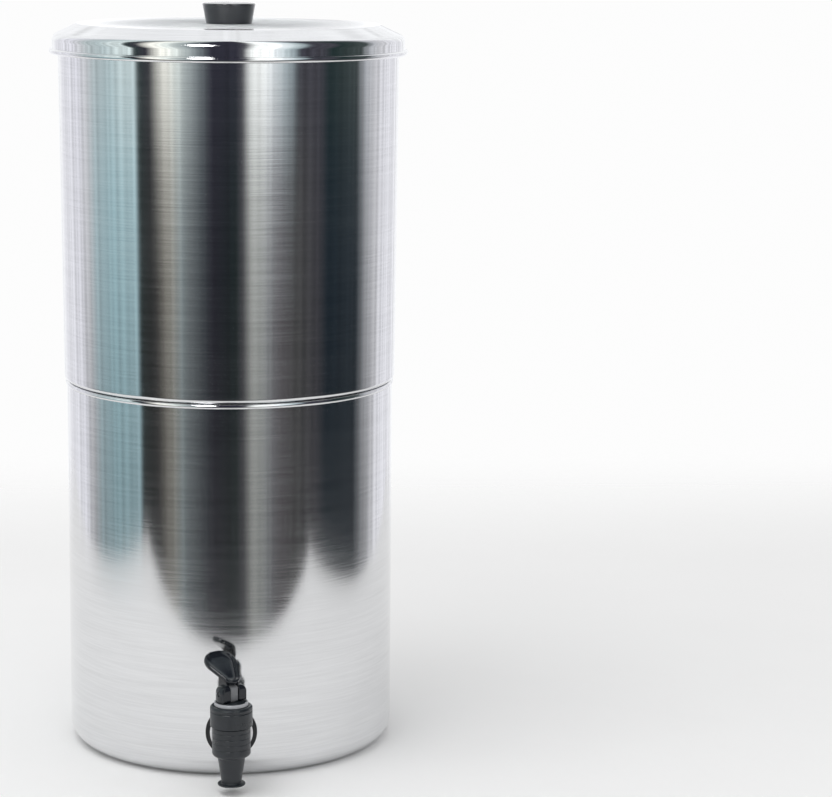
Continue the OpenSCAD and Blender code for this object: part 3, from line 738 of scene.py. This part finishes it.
class FILTER_OT_vessels(FilterOperator, bpy.types.Operator):
    """Builds the two brushed vessels"""
    bl_idname = "filter.vessels"
    bl_label = "Vessels"

    def lower(self, forms):
        """Rounded base, straight wall and rolled rim, with a hole for the tap's shank."""
        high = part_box("lower_vessel")[1]
        bead, sheet, corner = forms.rim_bead, forms.sheet, forms.base_round
        wall = high.x - forms.lower_proud
        bead_x, bead_z = high.x - bead, high.z - bead
        outside = [(0.0, 0.0), *arc(wall - corner, corner, corner, -90, 0, steps=14),
                   *arc(bead_x, bead_z, bead, -meeting(wall - bead_x, bead), 270, steps=28)]
        inside = [*arc(wall - corner, corner, corner - sheet, 0, -90), (0.0, sheet)]
        vessel = turned("lower_vessel_wall", held(outside + inside), sides=WALL_SIDES)
        hole, reach = 8.3 * MM, 20 * MM
        shank = Matrix.Translation((0.0, -wall, shank_height())) @ OUTWARDS
        return combined(vessel, ("DIFFERENCE", drill(hole, -reach, reach, shank)))

    def upper(self, forms):
        """Stepped plug, ledge, slightly flared wall and rolled rim, with a hole for each candle's stem."""
        low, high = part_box("upper_vessel")
        bead, sheet = forms.rim_bead, forms.sheet
        heel, edge = forms.plug_round, forms.foot_round
        ledge = low.z + forms.plug_depth
        mouth = high.x - forms.upper_proud
        foot = mouth - forms.mouth_flare
        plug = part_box("lower_vessel")[1].x - 2 * bead - forms.plug_gap
        bead_x, bead_z = high.x - bead, high.z - bead
        meet_out = meeting(mouth - bead_x, bead)
        meet_in = 360 - meeting(mouth - sheet - bead_x, bead)
        outside = [(0.0, low.z), *arc(plug - heel, low.z + heel, heel, -90, 0),
                   (plug, ledge), *arc(foot - edge, ledge + edge, edge, -90, 0),
                   *arc(bead_x, bead_z, bead, -meet_out, meet_in, steps=28)]
        inside = [*arc(foot - edge, ledge + edge, edge - sheet, 0, -90), (plug - sheet, ledge + sheet),
                  *arc(plug - heel, low.z + heel, heel - sheet, 0, -90), (0.0, low.z + sheet)]
        vessel = turned("upper_vessel_wall", held(outside + inside), sides=WALL_SIDES)
        hole, reach = 5.3 * MM, 5 * MM
        holes = [("DIFFERENCE", drill(hole, -reach, reach, middle(f"candle_{side}")[0]))
                 for side in ("left", "right")]
        return combined(vessel, *holes)

    def execute(self, context):
        finish, forms = context.scene.filter_finish, context.scene.filter_forms
        for name, vessel in (("lower_vessel", self.lower(forms)), ("upper_vessel", self.upper(forms))):
            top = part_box(name)[1].z
            polished = (top - 2.6 * forms.rim_bead, top)
            material = brushed_steel(name.replace("vessel", "steel"), finish, finish.steel, polished)
            stands_for(vessel, material, name)
        return {"FINISHED"}


class FILTER_OT_lid(FilterOperator, bpy.types.Operator):
    """Builds the stamped lid and its knob"""
    bl_idname = "filter.lid"
    bl_label = "Lid and knob"

    def lid(self, forms):
        """Level top, sloping shoulder, skirt and rolled hem, in one sheet."""
        low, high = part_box("lid")
        bead, sheet, brow, crest = forms.hem_bead, forms.sheet, forms.brow_round, forms.crest_round
        skirt = high.x - forms.hem_proud
        bead_x, bead_z = high.x - bead, low.z + bead
        meet_out = meeting(skirt - bead_x, bead)
        meet_in = meeting(skirt - sheet - bead_x, bead) - 360
        lean = touching(brow - forms.shoulder, forms.shoulder_rise - crest, brow, crest)
        hole = 2.8 * MM

        def shoulder(inset):
            """From skirt to top: two rounds, whose ends the straight slope joins."""
            return (arc(skirt - brow, high.z - forms.shoulder_rise, brow - inset, 0, lean, steps=18)
                    + arc(skirt - forms.shoulder, high.z - crest, crest - inset, lean, 90))

        profile = [(hole, high.z), *shoulder(0.0)[::-1],
                   *arc(bead_x, bead_z, bead, meet_out, meet_in, steps=28),
                   *shoulder(sheet), (hole, high.z - sheet)]
        return turned("lid_sheet", held(profile), sides=WALL_SIDES, closed=True)

    def knob(self):
        """Straight flared side between two rounded edges, under a slightly domed top."""
        place, radius, height = middle("lid_knob")
        insert, bore = middle("knob_insert")[1:]
        edge, crown, foot, lip = 1.0 * MM, 0.8 * MM, 16.65 * MM, 0.6 * MM
        profile = [(0.0, bore), (insert, bore), (insert, 0.0), *arc(foot - lip, lip, lip, -90, -8, steps=5),
                   *arc(radius - edge, height - crown - edge, edge, -9, 84, steps=14),
                   (radius * 0.62, height - 0.25 * crown), (radius * 0.3, height - 0.06 * crown),
                   (0.0, height)]
        return turned("knob_body", held(profile, 0.3 * MM), place, KNOB_SIDES, 45)

    def screw(self):
        """The screw that holds the knob, with its cross cut into the head."""
        place, head, height = middle("knob_screw")
        shaft, head_h, pitch, brim = 2.5 * MM, 2.8 * MM, 0.8 * MM, 1.6 * MM
        start, end = head_h + 1.8 * MM, height - 0.3 * MM
        profile = [(0.0, 0.0), *arc(head - brim, brim, brim, -90, 0), (head, head_h),
                   (shaft, head_h), *threaded(shaft, start, end, pitch), (shaft - 0.3 * MM, height),
                   (0.0, height)]
        screw = turned("cross_screw", profile, place, radius_at=thread(start, end, pitch, 0.35 * MM))
        slot = [(-0.5 * MM, -MM), (0.5 * MM, -MM), (0.4 * MM, 1.2 * MM), (-0.4 * MM, 1.2 * MM)]
        for turn in (0, math.pi / 2):
            cutter = prism("slot", slot, -shaft, shaft, place @ Matrix.Rotation(turn, 4, "Z"))
            combined(screw, ("DIFFERENCE", cutter))
        return screw

    def execute(self, context):
        finish, forms = context.scene.filter_finish, context.scene.filter_forms
        low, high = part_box("lid")
        polished = (low.z - 2 * MM, high.z - forms.shoulder_rise)
        sheet = brushed_steel("lid_steel", finish, finish.lid, polished, turned_top=True)
        stands_for(self.lid(forms), sheet, "lid")
        plastic = moulded("knob_plastic", finish.knob, 0.18, specular=0.7, coat=0.6)
        stands_for(self.knob(), plastic, "lid_knob")
        place, outer, height = middle("knob_insert")
        insert = ring("brass_insert", outer, 2.6 * MM, height, 0.2 * MM, place)
        screw = self.screw()
        place, outer, height = middle("knob_washer")
        washer = ring("knob_washer_disc", outer, 2.8 * MM, height, 0.2 * MM, place)
        fastener = bright_metal("screw_steel", (0.62, 0.62, 0.63), 0.24)
        stands_for(insert, bright_metal("brass", finish.brass, 0.25), "knob_insert")
        stands_for(screw, fastener, "knob_screw")
        stands_for(washer, fastener, "knob_washer")
        return {"FINISHED"}


class FILTER_OT_candles(FilterOperator, bpy.types.Operator):
    """Builds the two ceramic candles and their fittings"""
    bl_idname = "filter.candles"
    bl_label = "Candles"

    def candle(self, side):
        """Hollow dome with a level foot."""
        place, radius, height = middle(f"candle_{side}")
        inner, dome = radius - 8 * MM, height - radius
        profile = [(radius, 0.0), *arc(0.0, dome, radius, 0, 90, steps=24),
                   *arc(0.0, dome, inner, 90, 0, steps=12), (inner, 0.0)]
        return turned(f"candle_shell_{side}", held(profile), place, FINE_SIDES, closed=True)

    def cap(self, side):
        """Ribbed cup for the candle's foot, over its threaded stem."""
        place, radius, height = middle(f"candle_cap_{side}")
        stem, bore, wall, floor, pitch = 5 * MM, 2.5 * MM, 2 * MM, 2.5 * MM, 1.75 * MM
        heel, chamfer, ribs, rib_depth = 2 * MM, 0.4 * MM, 36, 0.35 * MM
        cup_low = height - 16 * MM
        start, end = 1.0 * MM, cup_low - 4.2 * MM
        low_rib, high_rib = cup_low + 3 * MM, height - 1.5 * MM
        ridge = thread(start, end, pitch, 0.8 * MM)

        def radius_at(r, z, turn):
            if r > radius - 0.5 * wall and low_rib < z < high_rib:
                return r - rib_depth * max(0.0, math.cos(ribs * turn)) ** 2
            return ridge(r, z, turn)

        side_rows = [(radius, low_rib + (high_rib - low_rib) * i / 6) for i in range(7)]
        profile = [(bore, 0.0), (stem - 0.8 * MM, 0.0), *threaded(stem, start, end, pitch), (stem, cup_low),
                   *arc(radius - heel, cup_low + heel, heel, -90, 0, steps=6), *side_rows,
                   (radius, height - chamfer), (radius - chamfer, height), (radius - wall, height),
                   (radius - wall, cup_low + floor), (bore, cup_low + floor)]
        return turned(f"cap_and_stem_{side}", profile, place, CAP_SIDES, closed=True, radius_at=radius_at)

    def seal(self, node):
        place, outer, height = middle(node)
        return ring(f"{node}_ring", outer, 5.1 * MM, height, 0.7 * MM, place)

    def wing_nut(self, side):
        """Hub with two round wings, drawn in the nut's own frame, wings along X."""
        place, _, height = middle(f"wing_nut_{side}")
        wing, hub, bore, width = 7.5 * MM, 9 * MM, 5.1 * MM, 2.6 * MM
        hub_height, hub_low = 9 * MM, 6.5 * MM
        nut = ring(f"wing_nut_body_{side}", hub, bore, hub_height, 0.6 * MM, place, foot=hub_low)
        along = place @ Matrix.Rotation(-math.pi / 2, 4, "Z")
        wings = [("UNION", prism("wing", arc(way * (hub + wing * 0.45), wing, wing, 0, 350, steps=35),
                                 -width / 2, width / 2, along)) for way in (-1, 1)]
        combined(nut, *wings, ("DIFFERENCE", drill(bore, -MM, height + 2 * MM, place)))
        return softened(nut, 0.45 * MM)

    def execute(self, context):
        finish = context.scene.filter_finish
        ceramic = fired_ceramic("candle_ceramic", finish.ceramic)
        white = moulded("cap_plastic", finish.white, 0.42, lift=1.05, flow=0.1)
        silicone = soft_rubber("seal_silicone", finish.silicone, 0.45)
        for side in ("left", "right"):
            stands_for(self.candle(side), ceramic, f"candle_{side}")
            stands_for(self.cap(side), white, f"candle_cap_{side}")
            stands_for(self.wing_nut(side), white, f"wing_nut_{side}")
            for level in ("inner", "outer"):
                stands_for(self.seal(f"{level}_seal_{side}"), silicone, f"{level}_seal_{side}")
        return {"FINISHED"}


class FILTER_OT_tap(FilterOperator, bpy.types.Operator):
    """Builds the tap's body, bonnet and spring and its fittings on the wall"""
    bl_idname = "filter.tap"
    bl_label = "Tap"

    def barrel(self, axis):
        """From the nozzle's lip up past the ribs to the neck under the bonnet, then down the bore."""
        low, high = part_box("tap_body")
        cap_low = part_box("bonnet")[0].z - low.z
        neck_top, barrel = high.z - low.z, high.x
        barrel_low, lip, neck = 21.8 * MM, 9.75 * MM, 7 * MM
        nozzle_top, outlet, seat = 9.95 * MM, 5 * MM, barrel_low + 1.5 * MM
        neck_out, neck_in, corner = 12.1 * MM, 10.5 * MM, 0.8 * MM
        ribs = [point for i in range(4) for point in arc(barrel + 0.14 * MM, barrel_low + (5.5 + 4 * i) * MM,
                                                         0.5 * MM, 233, 127, steps=5)]
        outside = [(outlet + 0.4 * MM, 0.0), *arc(lip - 0.4 * MM, 0.4 * MM, 0.4 * MM, -90, 0, steps=4),
                   *arc(lip - 0.5 * MM, 0.7 * MM, 0.5 * MM, 0, 90, steps=4),
                   *arc(neck + 0.75 * MM, 2 * MM, 0.7 * MM, -90, -170, steps=5),
                   (nozzle_top - 0.2 * MM, barrel_low - 1.6 * MM),
                   (nozzle_top + 0.3 * MM, barrel_low - 0.9 * MM),
                   *arc(barrel - 3 * MM, barrel_low + 2.2 * MM, 3 * MM, -78, 0, steps=8), *ribs,
                   (barrel, cap_low - corner), (barrel - corner, cap_low), (neck_out, cap_low),
                   (neck_out, neck_top), (neck_in, neck_top)]
        inside = [(neck_in, seat), (outlet, seat), (outlet, 0.4 * MM)]
        return turned("tap_barrel", held(outside + inside, 0.3 * MM), raised(axis, low.z), FINE_SIDES,
                      TAP_CREASE, closed=True)

    def shank(self, axis):
        """Threaded tube from inside the vessel to the barrel, with a collar outside the wall."""
        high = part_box("tap_body")[1]
        reach = high.y - (axis.translation.y + high.x * 0.7)
        pitch = 1.5 * MM
        collar_at = high.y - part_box("wall_washer")[0].y
        start, end = 0.6 * MM, high.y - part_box("wall_gasket")[1].y - 1.5 * MM
        shank, bore, collar = 8 * MM, 4.5 * MM, 11 * MM
        profile = [(bore, reach), (bore, 0.0), (shank - 0.7 * MM, 0.0), *threaded(shank, start, end, pitch),
                   (shank, collar_at), (collar - 0.3 * MM, collar_at), (collar, collar_at + 0.3 * MM),
                   *arc(collar - 0.6 * MM, collar_at + 2.4 * MM, 0.6 * MM, 0, 90, steps=4),
                   (collar - 1 * MM, collar_at + 3 * MM), (shank + 0.6 * MM, reach)]
        return turned("tap_shank", profile, on_shank("tap_body")[0], closed=True,
                      radius_at=thread(start, end, pitch, 0.75 * MM))

    def bonnet(self, axis):
        """Screw cap with one groove round it and a rounded shoulder."""
        low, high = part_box("bonnet")
        radius, height = high.x, high.z - low.z
        groove, roof, shoulder = height - 3.7 * MM, height - 3.4 * MM, 1.8 * MM
        bore, hole, foot = 12.2 * MM, 3.3 * MM, 0.45 * MM
        profile = [(bore, 0.0), (radius - 0.5 * MM, 0.0), *arc(radius - foot, foot, foot, -80, 0, steps=4),
                   (radius, groove - 0.6 * MM), *arc(radius + 0.1 * MM, groove, 0.5 * MM, 233, 127, steps=6),
                   (radius, groove + 0.6 * MM),
                   *arc(radius - shoulder, height - shoulder, shoulder, 0, 90),
                   (hole, height), (hole, roof), (bore, roof)]
        return turned("bonnet_cap", held(profile, 0.3 * MM), raised(axis, low.z), FINE_SIDES, TAP_CREASE,
                      closed=True)

    def washer(self, node, axis, inner, edge):
        """A ring on the tap's axis, with a little play under it."""
        low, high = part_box(node)
        play = 0.03 * MM
        return ring(f"{node}_form", high.x, inner, high.z - low.z - play, edge, raised(axis, low.z + play),
                    sides=FINE_SIDES, crease=TAP_CREASE)

    def seat_cup(self, axis):
        """Round nose that closes the outlet, on the stem's end."""
        low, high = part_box("seat_cup")
        height, cup, nose, shaft, edge = high.z - low.z, high.x, 7 * MM, 3.05 * MM, 0.5 * MM
        profile = [*arc(0.0, nose, nose, -90, 0, steps=14),
                   *arc(cup - edge, nose + 1.6 * MM, edge, -90, 0, steps=3),
                   *arc(cup - edge, height - edge, edge, 0, 90, steps=3),
                   (shaft, height), (shaft, nose - 2 * MM), (0.0, nose - 2 * MM)]
        return turned("seat_cup_form", profile, raised(axis, low.z), crease=TAP_CREASE)

    def lock_nut(self):
        """Hexagon with chamfered corners."""
        low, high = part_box("lock_nut")
        place, depth = on_shank("lock_nut")
        corner, across = high.x, (high.z - low.z) / 2
        chamfer = (corner - across) * 0.5
        flat, point = across + 0.3 * MM, corner + 0.2 * MM
        nut = turned("lock_nut_hexagon", [(0.0, 0.0), (flat, 0.0), (point, chamfer), (point, depth - chamfer),
                                          (flat, depth), (0.0, depth)], place)
        upright = place @ Matrix.Rotation(-math.pi / 2, 4, "Y") @ OUTWARDS
        hexagon = prism("hexagon", arc(0.0, 0.0, corner, 0, 300, steps=5), -MM, depth + MM, upright)
        combined(nut, ("INTERSECT", hexagon), ("DIFFERENCE", drill(8.1 * MM, -MM, depth + MM, place)))
        return moulded_edges(nut, 0.35 * MM, 3)

    def spring(self, axis):
        """Closing spring: round wire, with its two end turns closed and flat."""
        low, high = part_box("spring")
        wire, turns, steps, sides = 0.45 * MM, 6, 28, 12
        flat, lap = 0.8, 1.7 * wire    # length of an end turn, in turns, and its rise
        radius = middle("spring")[1] - wire
        bottom, top = low.z + wire, high.z - wire
        form = bmesh.new()
        rings = []
        for i in range(turns * steps + 1):
            turn = i / steps
            climb = min(1.0, max(0.0, (turn - flat) / (turns - 2 * flat)))
            ends = min(1.0, turn / flat) + max(0.0, (turn - turns + flat) / flat)
            rise = bottom + climb * (top - bottom - 2 * lap) + lap * ends
            around = 2 * math.pi * turn
            out = Vector((math.cos(around), math.sin(around), 0.0))
            centre = axis.translation + out * radius + Vector((0.0, 0.0, rise))
            rings.append([form.verts.new(centre + out * away + Vector((0.0, 0.0, up)))
                          for away, up in arc(0.0, 0.0, wire, 0, 360, steps=sides)[:sides]])
        for first, second in zip(rings, rings[1:]):
            for i in range(sides):
                j = (i + 1) % sides
                form.faces.new((first[i], first[j], second[j], second[i]))
        form.faces.new(rings[0])
        form.faces.new(rings[-1][::-1])
        return solid("closing_spring", form, SOFT_CREASE)

    def execute(self, context):
        finish = context.scene.filter_finish
        press = Vector(JOINT["lever_swivel"]["pos_m"])
        axis = Matrix.Translation((press.x, press.y, 0.0))
        black = moulded("tap_plastic", finish.tap, 0.30)
        pale = moulded("pale_plastic", finish.pale, 0.38, lift=1.1, flow=0.2)
        rubber = soft_rubber("gasket_rubber", finish.rubber, 0.55)
        silicone = soft_rubber("valve_silicone", finish.silicone, 0.45)
        fine_steel = bright_metal("spring_steel", (0.58, 0.58, 0.58), 0.28)
        washer_steel = bright_metal("washer_steel", (0.68, 0.68, 0.69), 0.22)
        body = combined(self.barrel(axis), ("UNION", self.shank(axis)))
        stands_for(body, black, "tap_body")
        stands_for(self.bonnet(axis), black, "bonnet")
        stands_for(self.washer("bonnet_ring", axis, 10.6 * MM, 0.5 * MM), pale, "bonnet_ring")
        stands_for(self.washer("thrust_washer", axis, 3.3 * MM, 0.25 * MM), black, "thrust_washer")
        stands_for(self.washer("bonnet_seal", axis, 8.7 * MM, 0.4 * MM), silicone, "bonnet_seal")
        stands_for(self.seat_cup(axis), silicone, "seat_cup")
        place, depth = on_shank("wall_washer")
        disc = ring("bright_washer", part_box("wall_washer")[1].x, 8.3 * MM, depth, 0.35 * MM, place,
                    sides=FINE_SIDES, crease=TAP_CREASE)
        stands_for(disc, washer_steel, "wall_washer")
        stands_for(self.lock_nut(), black, "lock_nut")
        spring = stands_for(self.spring(axis), fine_steel, "spring")
        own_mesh(spring)
        dress(rubber, "wall_gasket", "inner_gasket")
        return {"FINISHED"}


class FILTER_OT_lever(FilterOperator, bpy.types.Operator):
    """Builds the dished lever, the stem between its cheeks and their pin"""
    bl_idname = "filter.lever"
    bl_label = "Lever"

    def under_paddle(self, forms, along, below):
        """A point (y, z) seen from the pin: so far along the paddle, and so far below its rim."""
        start, up = -5.6 * MM, 8.8 * MM
        sin_r, cos_r = math.sin(forms.paddle_rise), math.cos(forms.paddle_rise)
        return start + along * cos_r + below * sin_r, up + along * sin_r - below * cos_r

    def paddle(self, forms, place):
        """Egg-shaped dish with a rolled rim, in rings from the middle of its back to that of its dish."""
        length, width, depth = forms.paddle_length, forms.paddle_width, forms.paddle_thickness
        narrow, wide = 6.8 * MM, 10 * MM
        half, far = width / 2 - wide, length - wide
        lean = touching(half, far - narrow, narrow, wide)

        def outline(inset):
            return (arc(half, far, wide - inset, lean, 90, steps=12)
                    + arc(-half, far, wide - inset, 90, 180 - lean, steps=12)
                    + arc(0.0, narrow, narrow - inset, 180 - lean, 360 + lean, steps=18))

        def point(x, along, below):
            return form.verts.new(place @ Vector((x, *self.under_paddle(forms, along, below))))

        # Rows of (inset from the rim, distance below it) in millimetres: back, rolled rim, dish
        thick, back, front = depth / MM, 0.7, 1.2
        quarter = [math.pi / 2 * i / 5 for i in range(6)]
        rows = [(5.6, thick), (3.0, thick),
                *[(back * (1 - math.sin(a)), thick - back * (1 - math.cos(a))) for a in quarter],
                *[(front * (1 - math.cos(a)), front * (1 - math.sin(a))) for a in quarter],
                (1.45, 0.06), (1.8, 0.3), (2.2, 0.66), (2.8, 0.95), (3.7, 1.2), (4.8, 1.34), (5.8, 1.4)]
        form = bmesh.new()
        rings = [[point(x, y, below * MM) for x, y in outline(inset * MM)] for inset, below in rows]
        for low, high in zip(rings, rings[1:]):
            for i in range(len(low)):
                j = (i + 1) % len(low)
                form.faces.new((low[i], low[j], high[j], high[i]))
        for edge, below in ((rings[0], depth), (rings[-1], 1.42 * MM)):
            spine = [point(0.0, length * part, below) for part in (0.3, 0.45, 0.6)]
            for i in range(len(edge)):
                pair = edge[i], edge[(i + 1) % len(edge)]
                near = [min(spine, key=lambda vert: (vert.co - end.co).length) for end in pair]
                form.faces.new((*pair, near[0]) if near[0] is near[1] else (*pair, near[1], near[0]))
        return solid("paddle", form, SOFT_CREASE)

    def cheek(self, cam, top):
        """Side view of a cheek, from the cam foot that lifts the stem evenly up to the rounded top."""
        lift, press, steps = 5.5 * MM, math.radians(30), 16
        involute = []
        for i in range(steps + 1):
            turn = press * i / steps
            height = cam + lift * turn
            involute.append((height * math.sin(turn) + lift * math.cos(turn),
                             -height * math.cos(turn) + lift * math.sin(turn)))
        front, back = 5.6 * MM, 3.4 * MM
        return [(-4.8 * MM, -cam + 0.8 * MM), (-4 * MM, -cam), *involute, (lift + 4.6 * MM, 0.0),
                *arc(2.2 * MM, top - front, front, 20, 90, steps=8),
                *arc(-1.4 * MM, top - back, back, 90, 180, steps=8)]

    def neck(self, forms):
        """Side view of the neck, which ends inside the paddle."""
        depth = forms.paddle_thickness
        buried, outer = depth - MM, 8.2 * MM
        return [(-2.6 * MM, 0.0), (-2.2 * MM, 5 * MM), self.under_paddle(forms, 5 * MM, buried),
                self.under_paddle(forms, 17 * MM, buried),
                self.under_paddle(forms, 15.5 * MM, depth + 0.6 * MM), (outer, 6 * MM), (outer, 0.0)]

    def fork(self, forms, place, cam, slot):
        """Cheeks and neck: side views given their widths, cut to a round foot with a domed top."""
        foot, top, dome, head = 10.8 * MM, 5.4 * MM, 5.2 * MM, 6.2 * MM
        fork = prism("fork", self.cheek(cam, top), -foot, foot, place)
        profile = [(0.0, -cam - MM), (foot, -cam - MM), *arc(foot - dome, top - dome, dome, 0, 90),
                   (0.0, top)]
        combined(fork, ("INTERSECT", turned("round_foot", profile, place)))
        width = forms.neck_width
        neck = prism("neck", self.neck(forms), -width / 2, width / 2, place)
        far, flat = 30 * MM, 0.04 * MM
        opening = [(-far, -far), (far, -far), (far, flat), *arc(0.0, 0.0, head, 1, 179, steps=40),
                   (-far, flat)]
        slit = prism("slot", opening, -slot / 2, slot / 2, place)
        bore = drill(1.55 * MM, -20 * MM, 20 * MM, place @ SIDEWAYS, 40)
        combined(fork, ("UNION", neck), ("DIFFERENCE", slit), ("DIFFERENCE", bore))
        return moulded_edges(fork, 0.24 * MM, 6)

    def stem(self, place, cam, width):
        """Flat head with a round top, over a shaft that runs down to the seat cup."""
        top, half = 5.5 * MM, 4 * MM
        corner, foot = meeting(half, top), -cam + 0.3 * MM
        outline = [(-half, foot), (half, foot), *arc(0.0, 0.0, top, corner, 180 - corner, steps=16)]
        head = softened(prism("stem_head", outline, -width / 2, width / 2, place), 0.5 * MM, segments=3)
        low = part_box("stem")[0].z - place.translation.z
        shaft = drill(3 * MM, low, -cam + MM, place, 96)
        bore = drill(1.52 * MM, -20 * MM, 20 * MM, place @ SIDEWAYS, 40)
        return combined(head, ("UNION", shaft), ("DIFFERENCE", bore))

    def execute(self, context):
        finish, forms = context.scene.filter_finish, context.scene.filter_forms
        press = JOINT["lever_press"]
        swing = math.atan2(-press["axis"][1], -press["axis"][0])
        place = Matrix.Translation(press["pos_m"]) @ Matrix.Rotation(swing, 4, "Z")
        cam = press["pos_m"][2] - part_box("thrust_washer")[1].z - 0.3 * MM
        width, play, pin_half = 6.4 * MM, 0.6 * MM, 10.3 * MM
        fork = self.fork(forms, place, cam, width + play)
        lever = combined(self.paddle(forms, place), ("UNION", fork))
        glossy = moulded("lever_plastic", finish.lever, 0.10, grain=0.03, specular=0.42)
        stands_for(lever, glossy, "lever")
        # The stem's plastic carries painted shade: its grey is darkened for the shade between the lever's cheeks
        stem_grey_and_painted_shade = moulded("grey_plastic", finish.stem_grey_and_painted_shade, 0.34, lift=1.2, flow=0.4)
        stands_for(self.stem(place, cam, width), stem_grey_and_painted_shade, "stem")
        pin = drill(1.5 * MM, -pin_half, pin_half, place @ SIDEWAYS, 40)
        pin.name = pin.data.name = "cheek_pin"
        stands_for(softened(pin, 0.25 * MM), bpy.data.materials["tap_plastic"], "lever_pin")
        return {"FINISHED"}


# ---------------------------------------------------------------- add-on

STEPS = (FILTER_OT_camera, FILTER_OT_stage, FILTER_OT_vessels, FILTER_OT_lid, FILTER_OT_candles,
         FILTER_OT_tap, FILTER_OT_lever)


class FILTER_PT_panel(bpy.types.Panel):
    """Lists the steps that build the filter"""
    bl_idname = "FILTER_PT_panel"
    bl_label = "Water filter"
    bl_space_type = "VIEW_3D"
    bl_region_type = "UI"
    bl_category = "Water filter"

    def draw(self, context):
        for step in STEPS:
            self.layout.operator(step.bl_idname)
        scene = context.scene
        for group in (scene.filter_finish, scene.filter_forms, scene.filter_studio):
            box = self.layout.box()
            for name in group.__annotations__:
                box.prop(group, name)


CLASSES = (FilterFinish, FilterForms, FilterStudio, *STEPS, FILTER_PT_panel)


def register():
    for item in CLASSES:
        bpy.utils.register_class(item)
    bpy.types.Scene.filter_finish = PointerProperty(type=FilterFinish)
    bpy.types.Scene.filter_forms = PointerProperty(type=FilterForms)
    bpy.types.Scene.filter_studio = PointerProperty(type=FilterStudio)


def unregister():
    del bpy.types.Scene.filter_studio
    del bpy.types.Scene.filter_forms
    del bpy.types.Scene.filter_finish
    for item in reversed(CLASSES):
        bpy.utils.unregister_class(item)


def main():
    register()
    for step in STEPS:
        group, name = step.bl_idname.split(".")
        getattr(getattr(bpy.ops, group), name)()


if __name__ == "__main__":
    main()
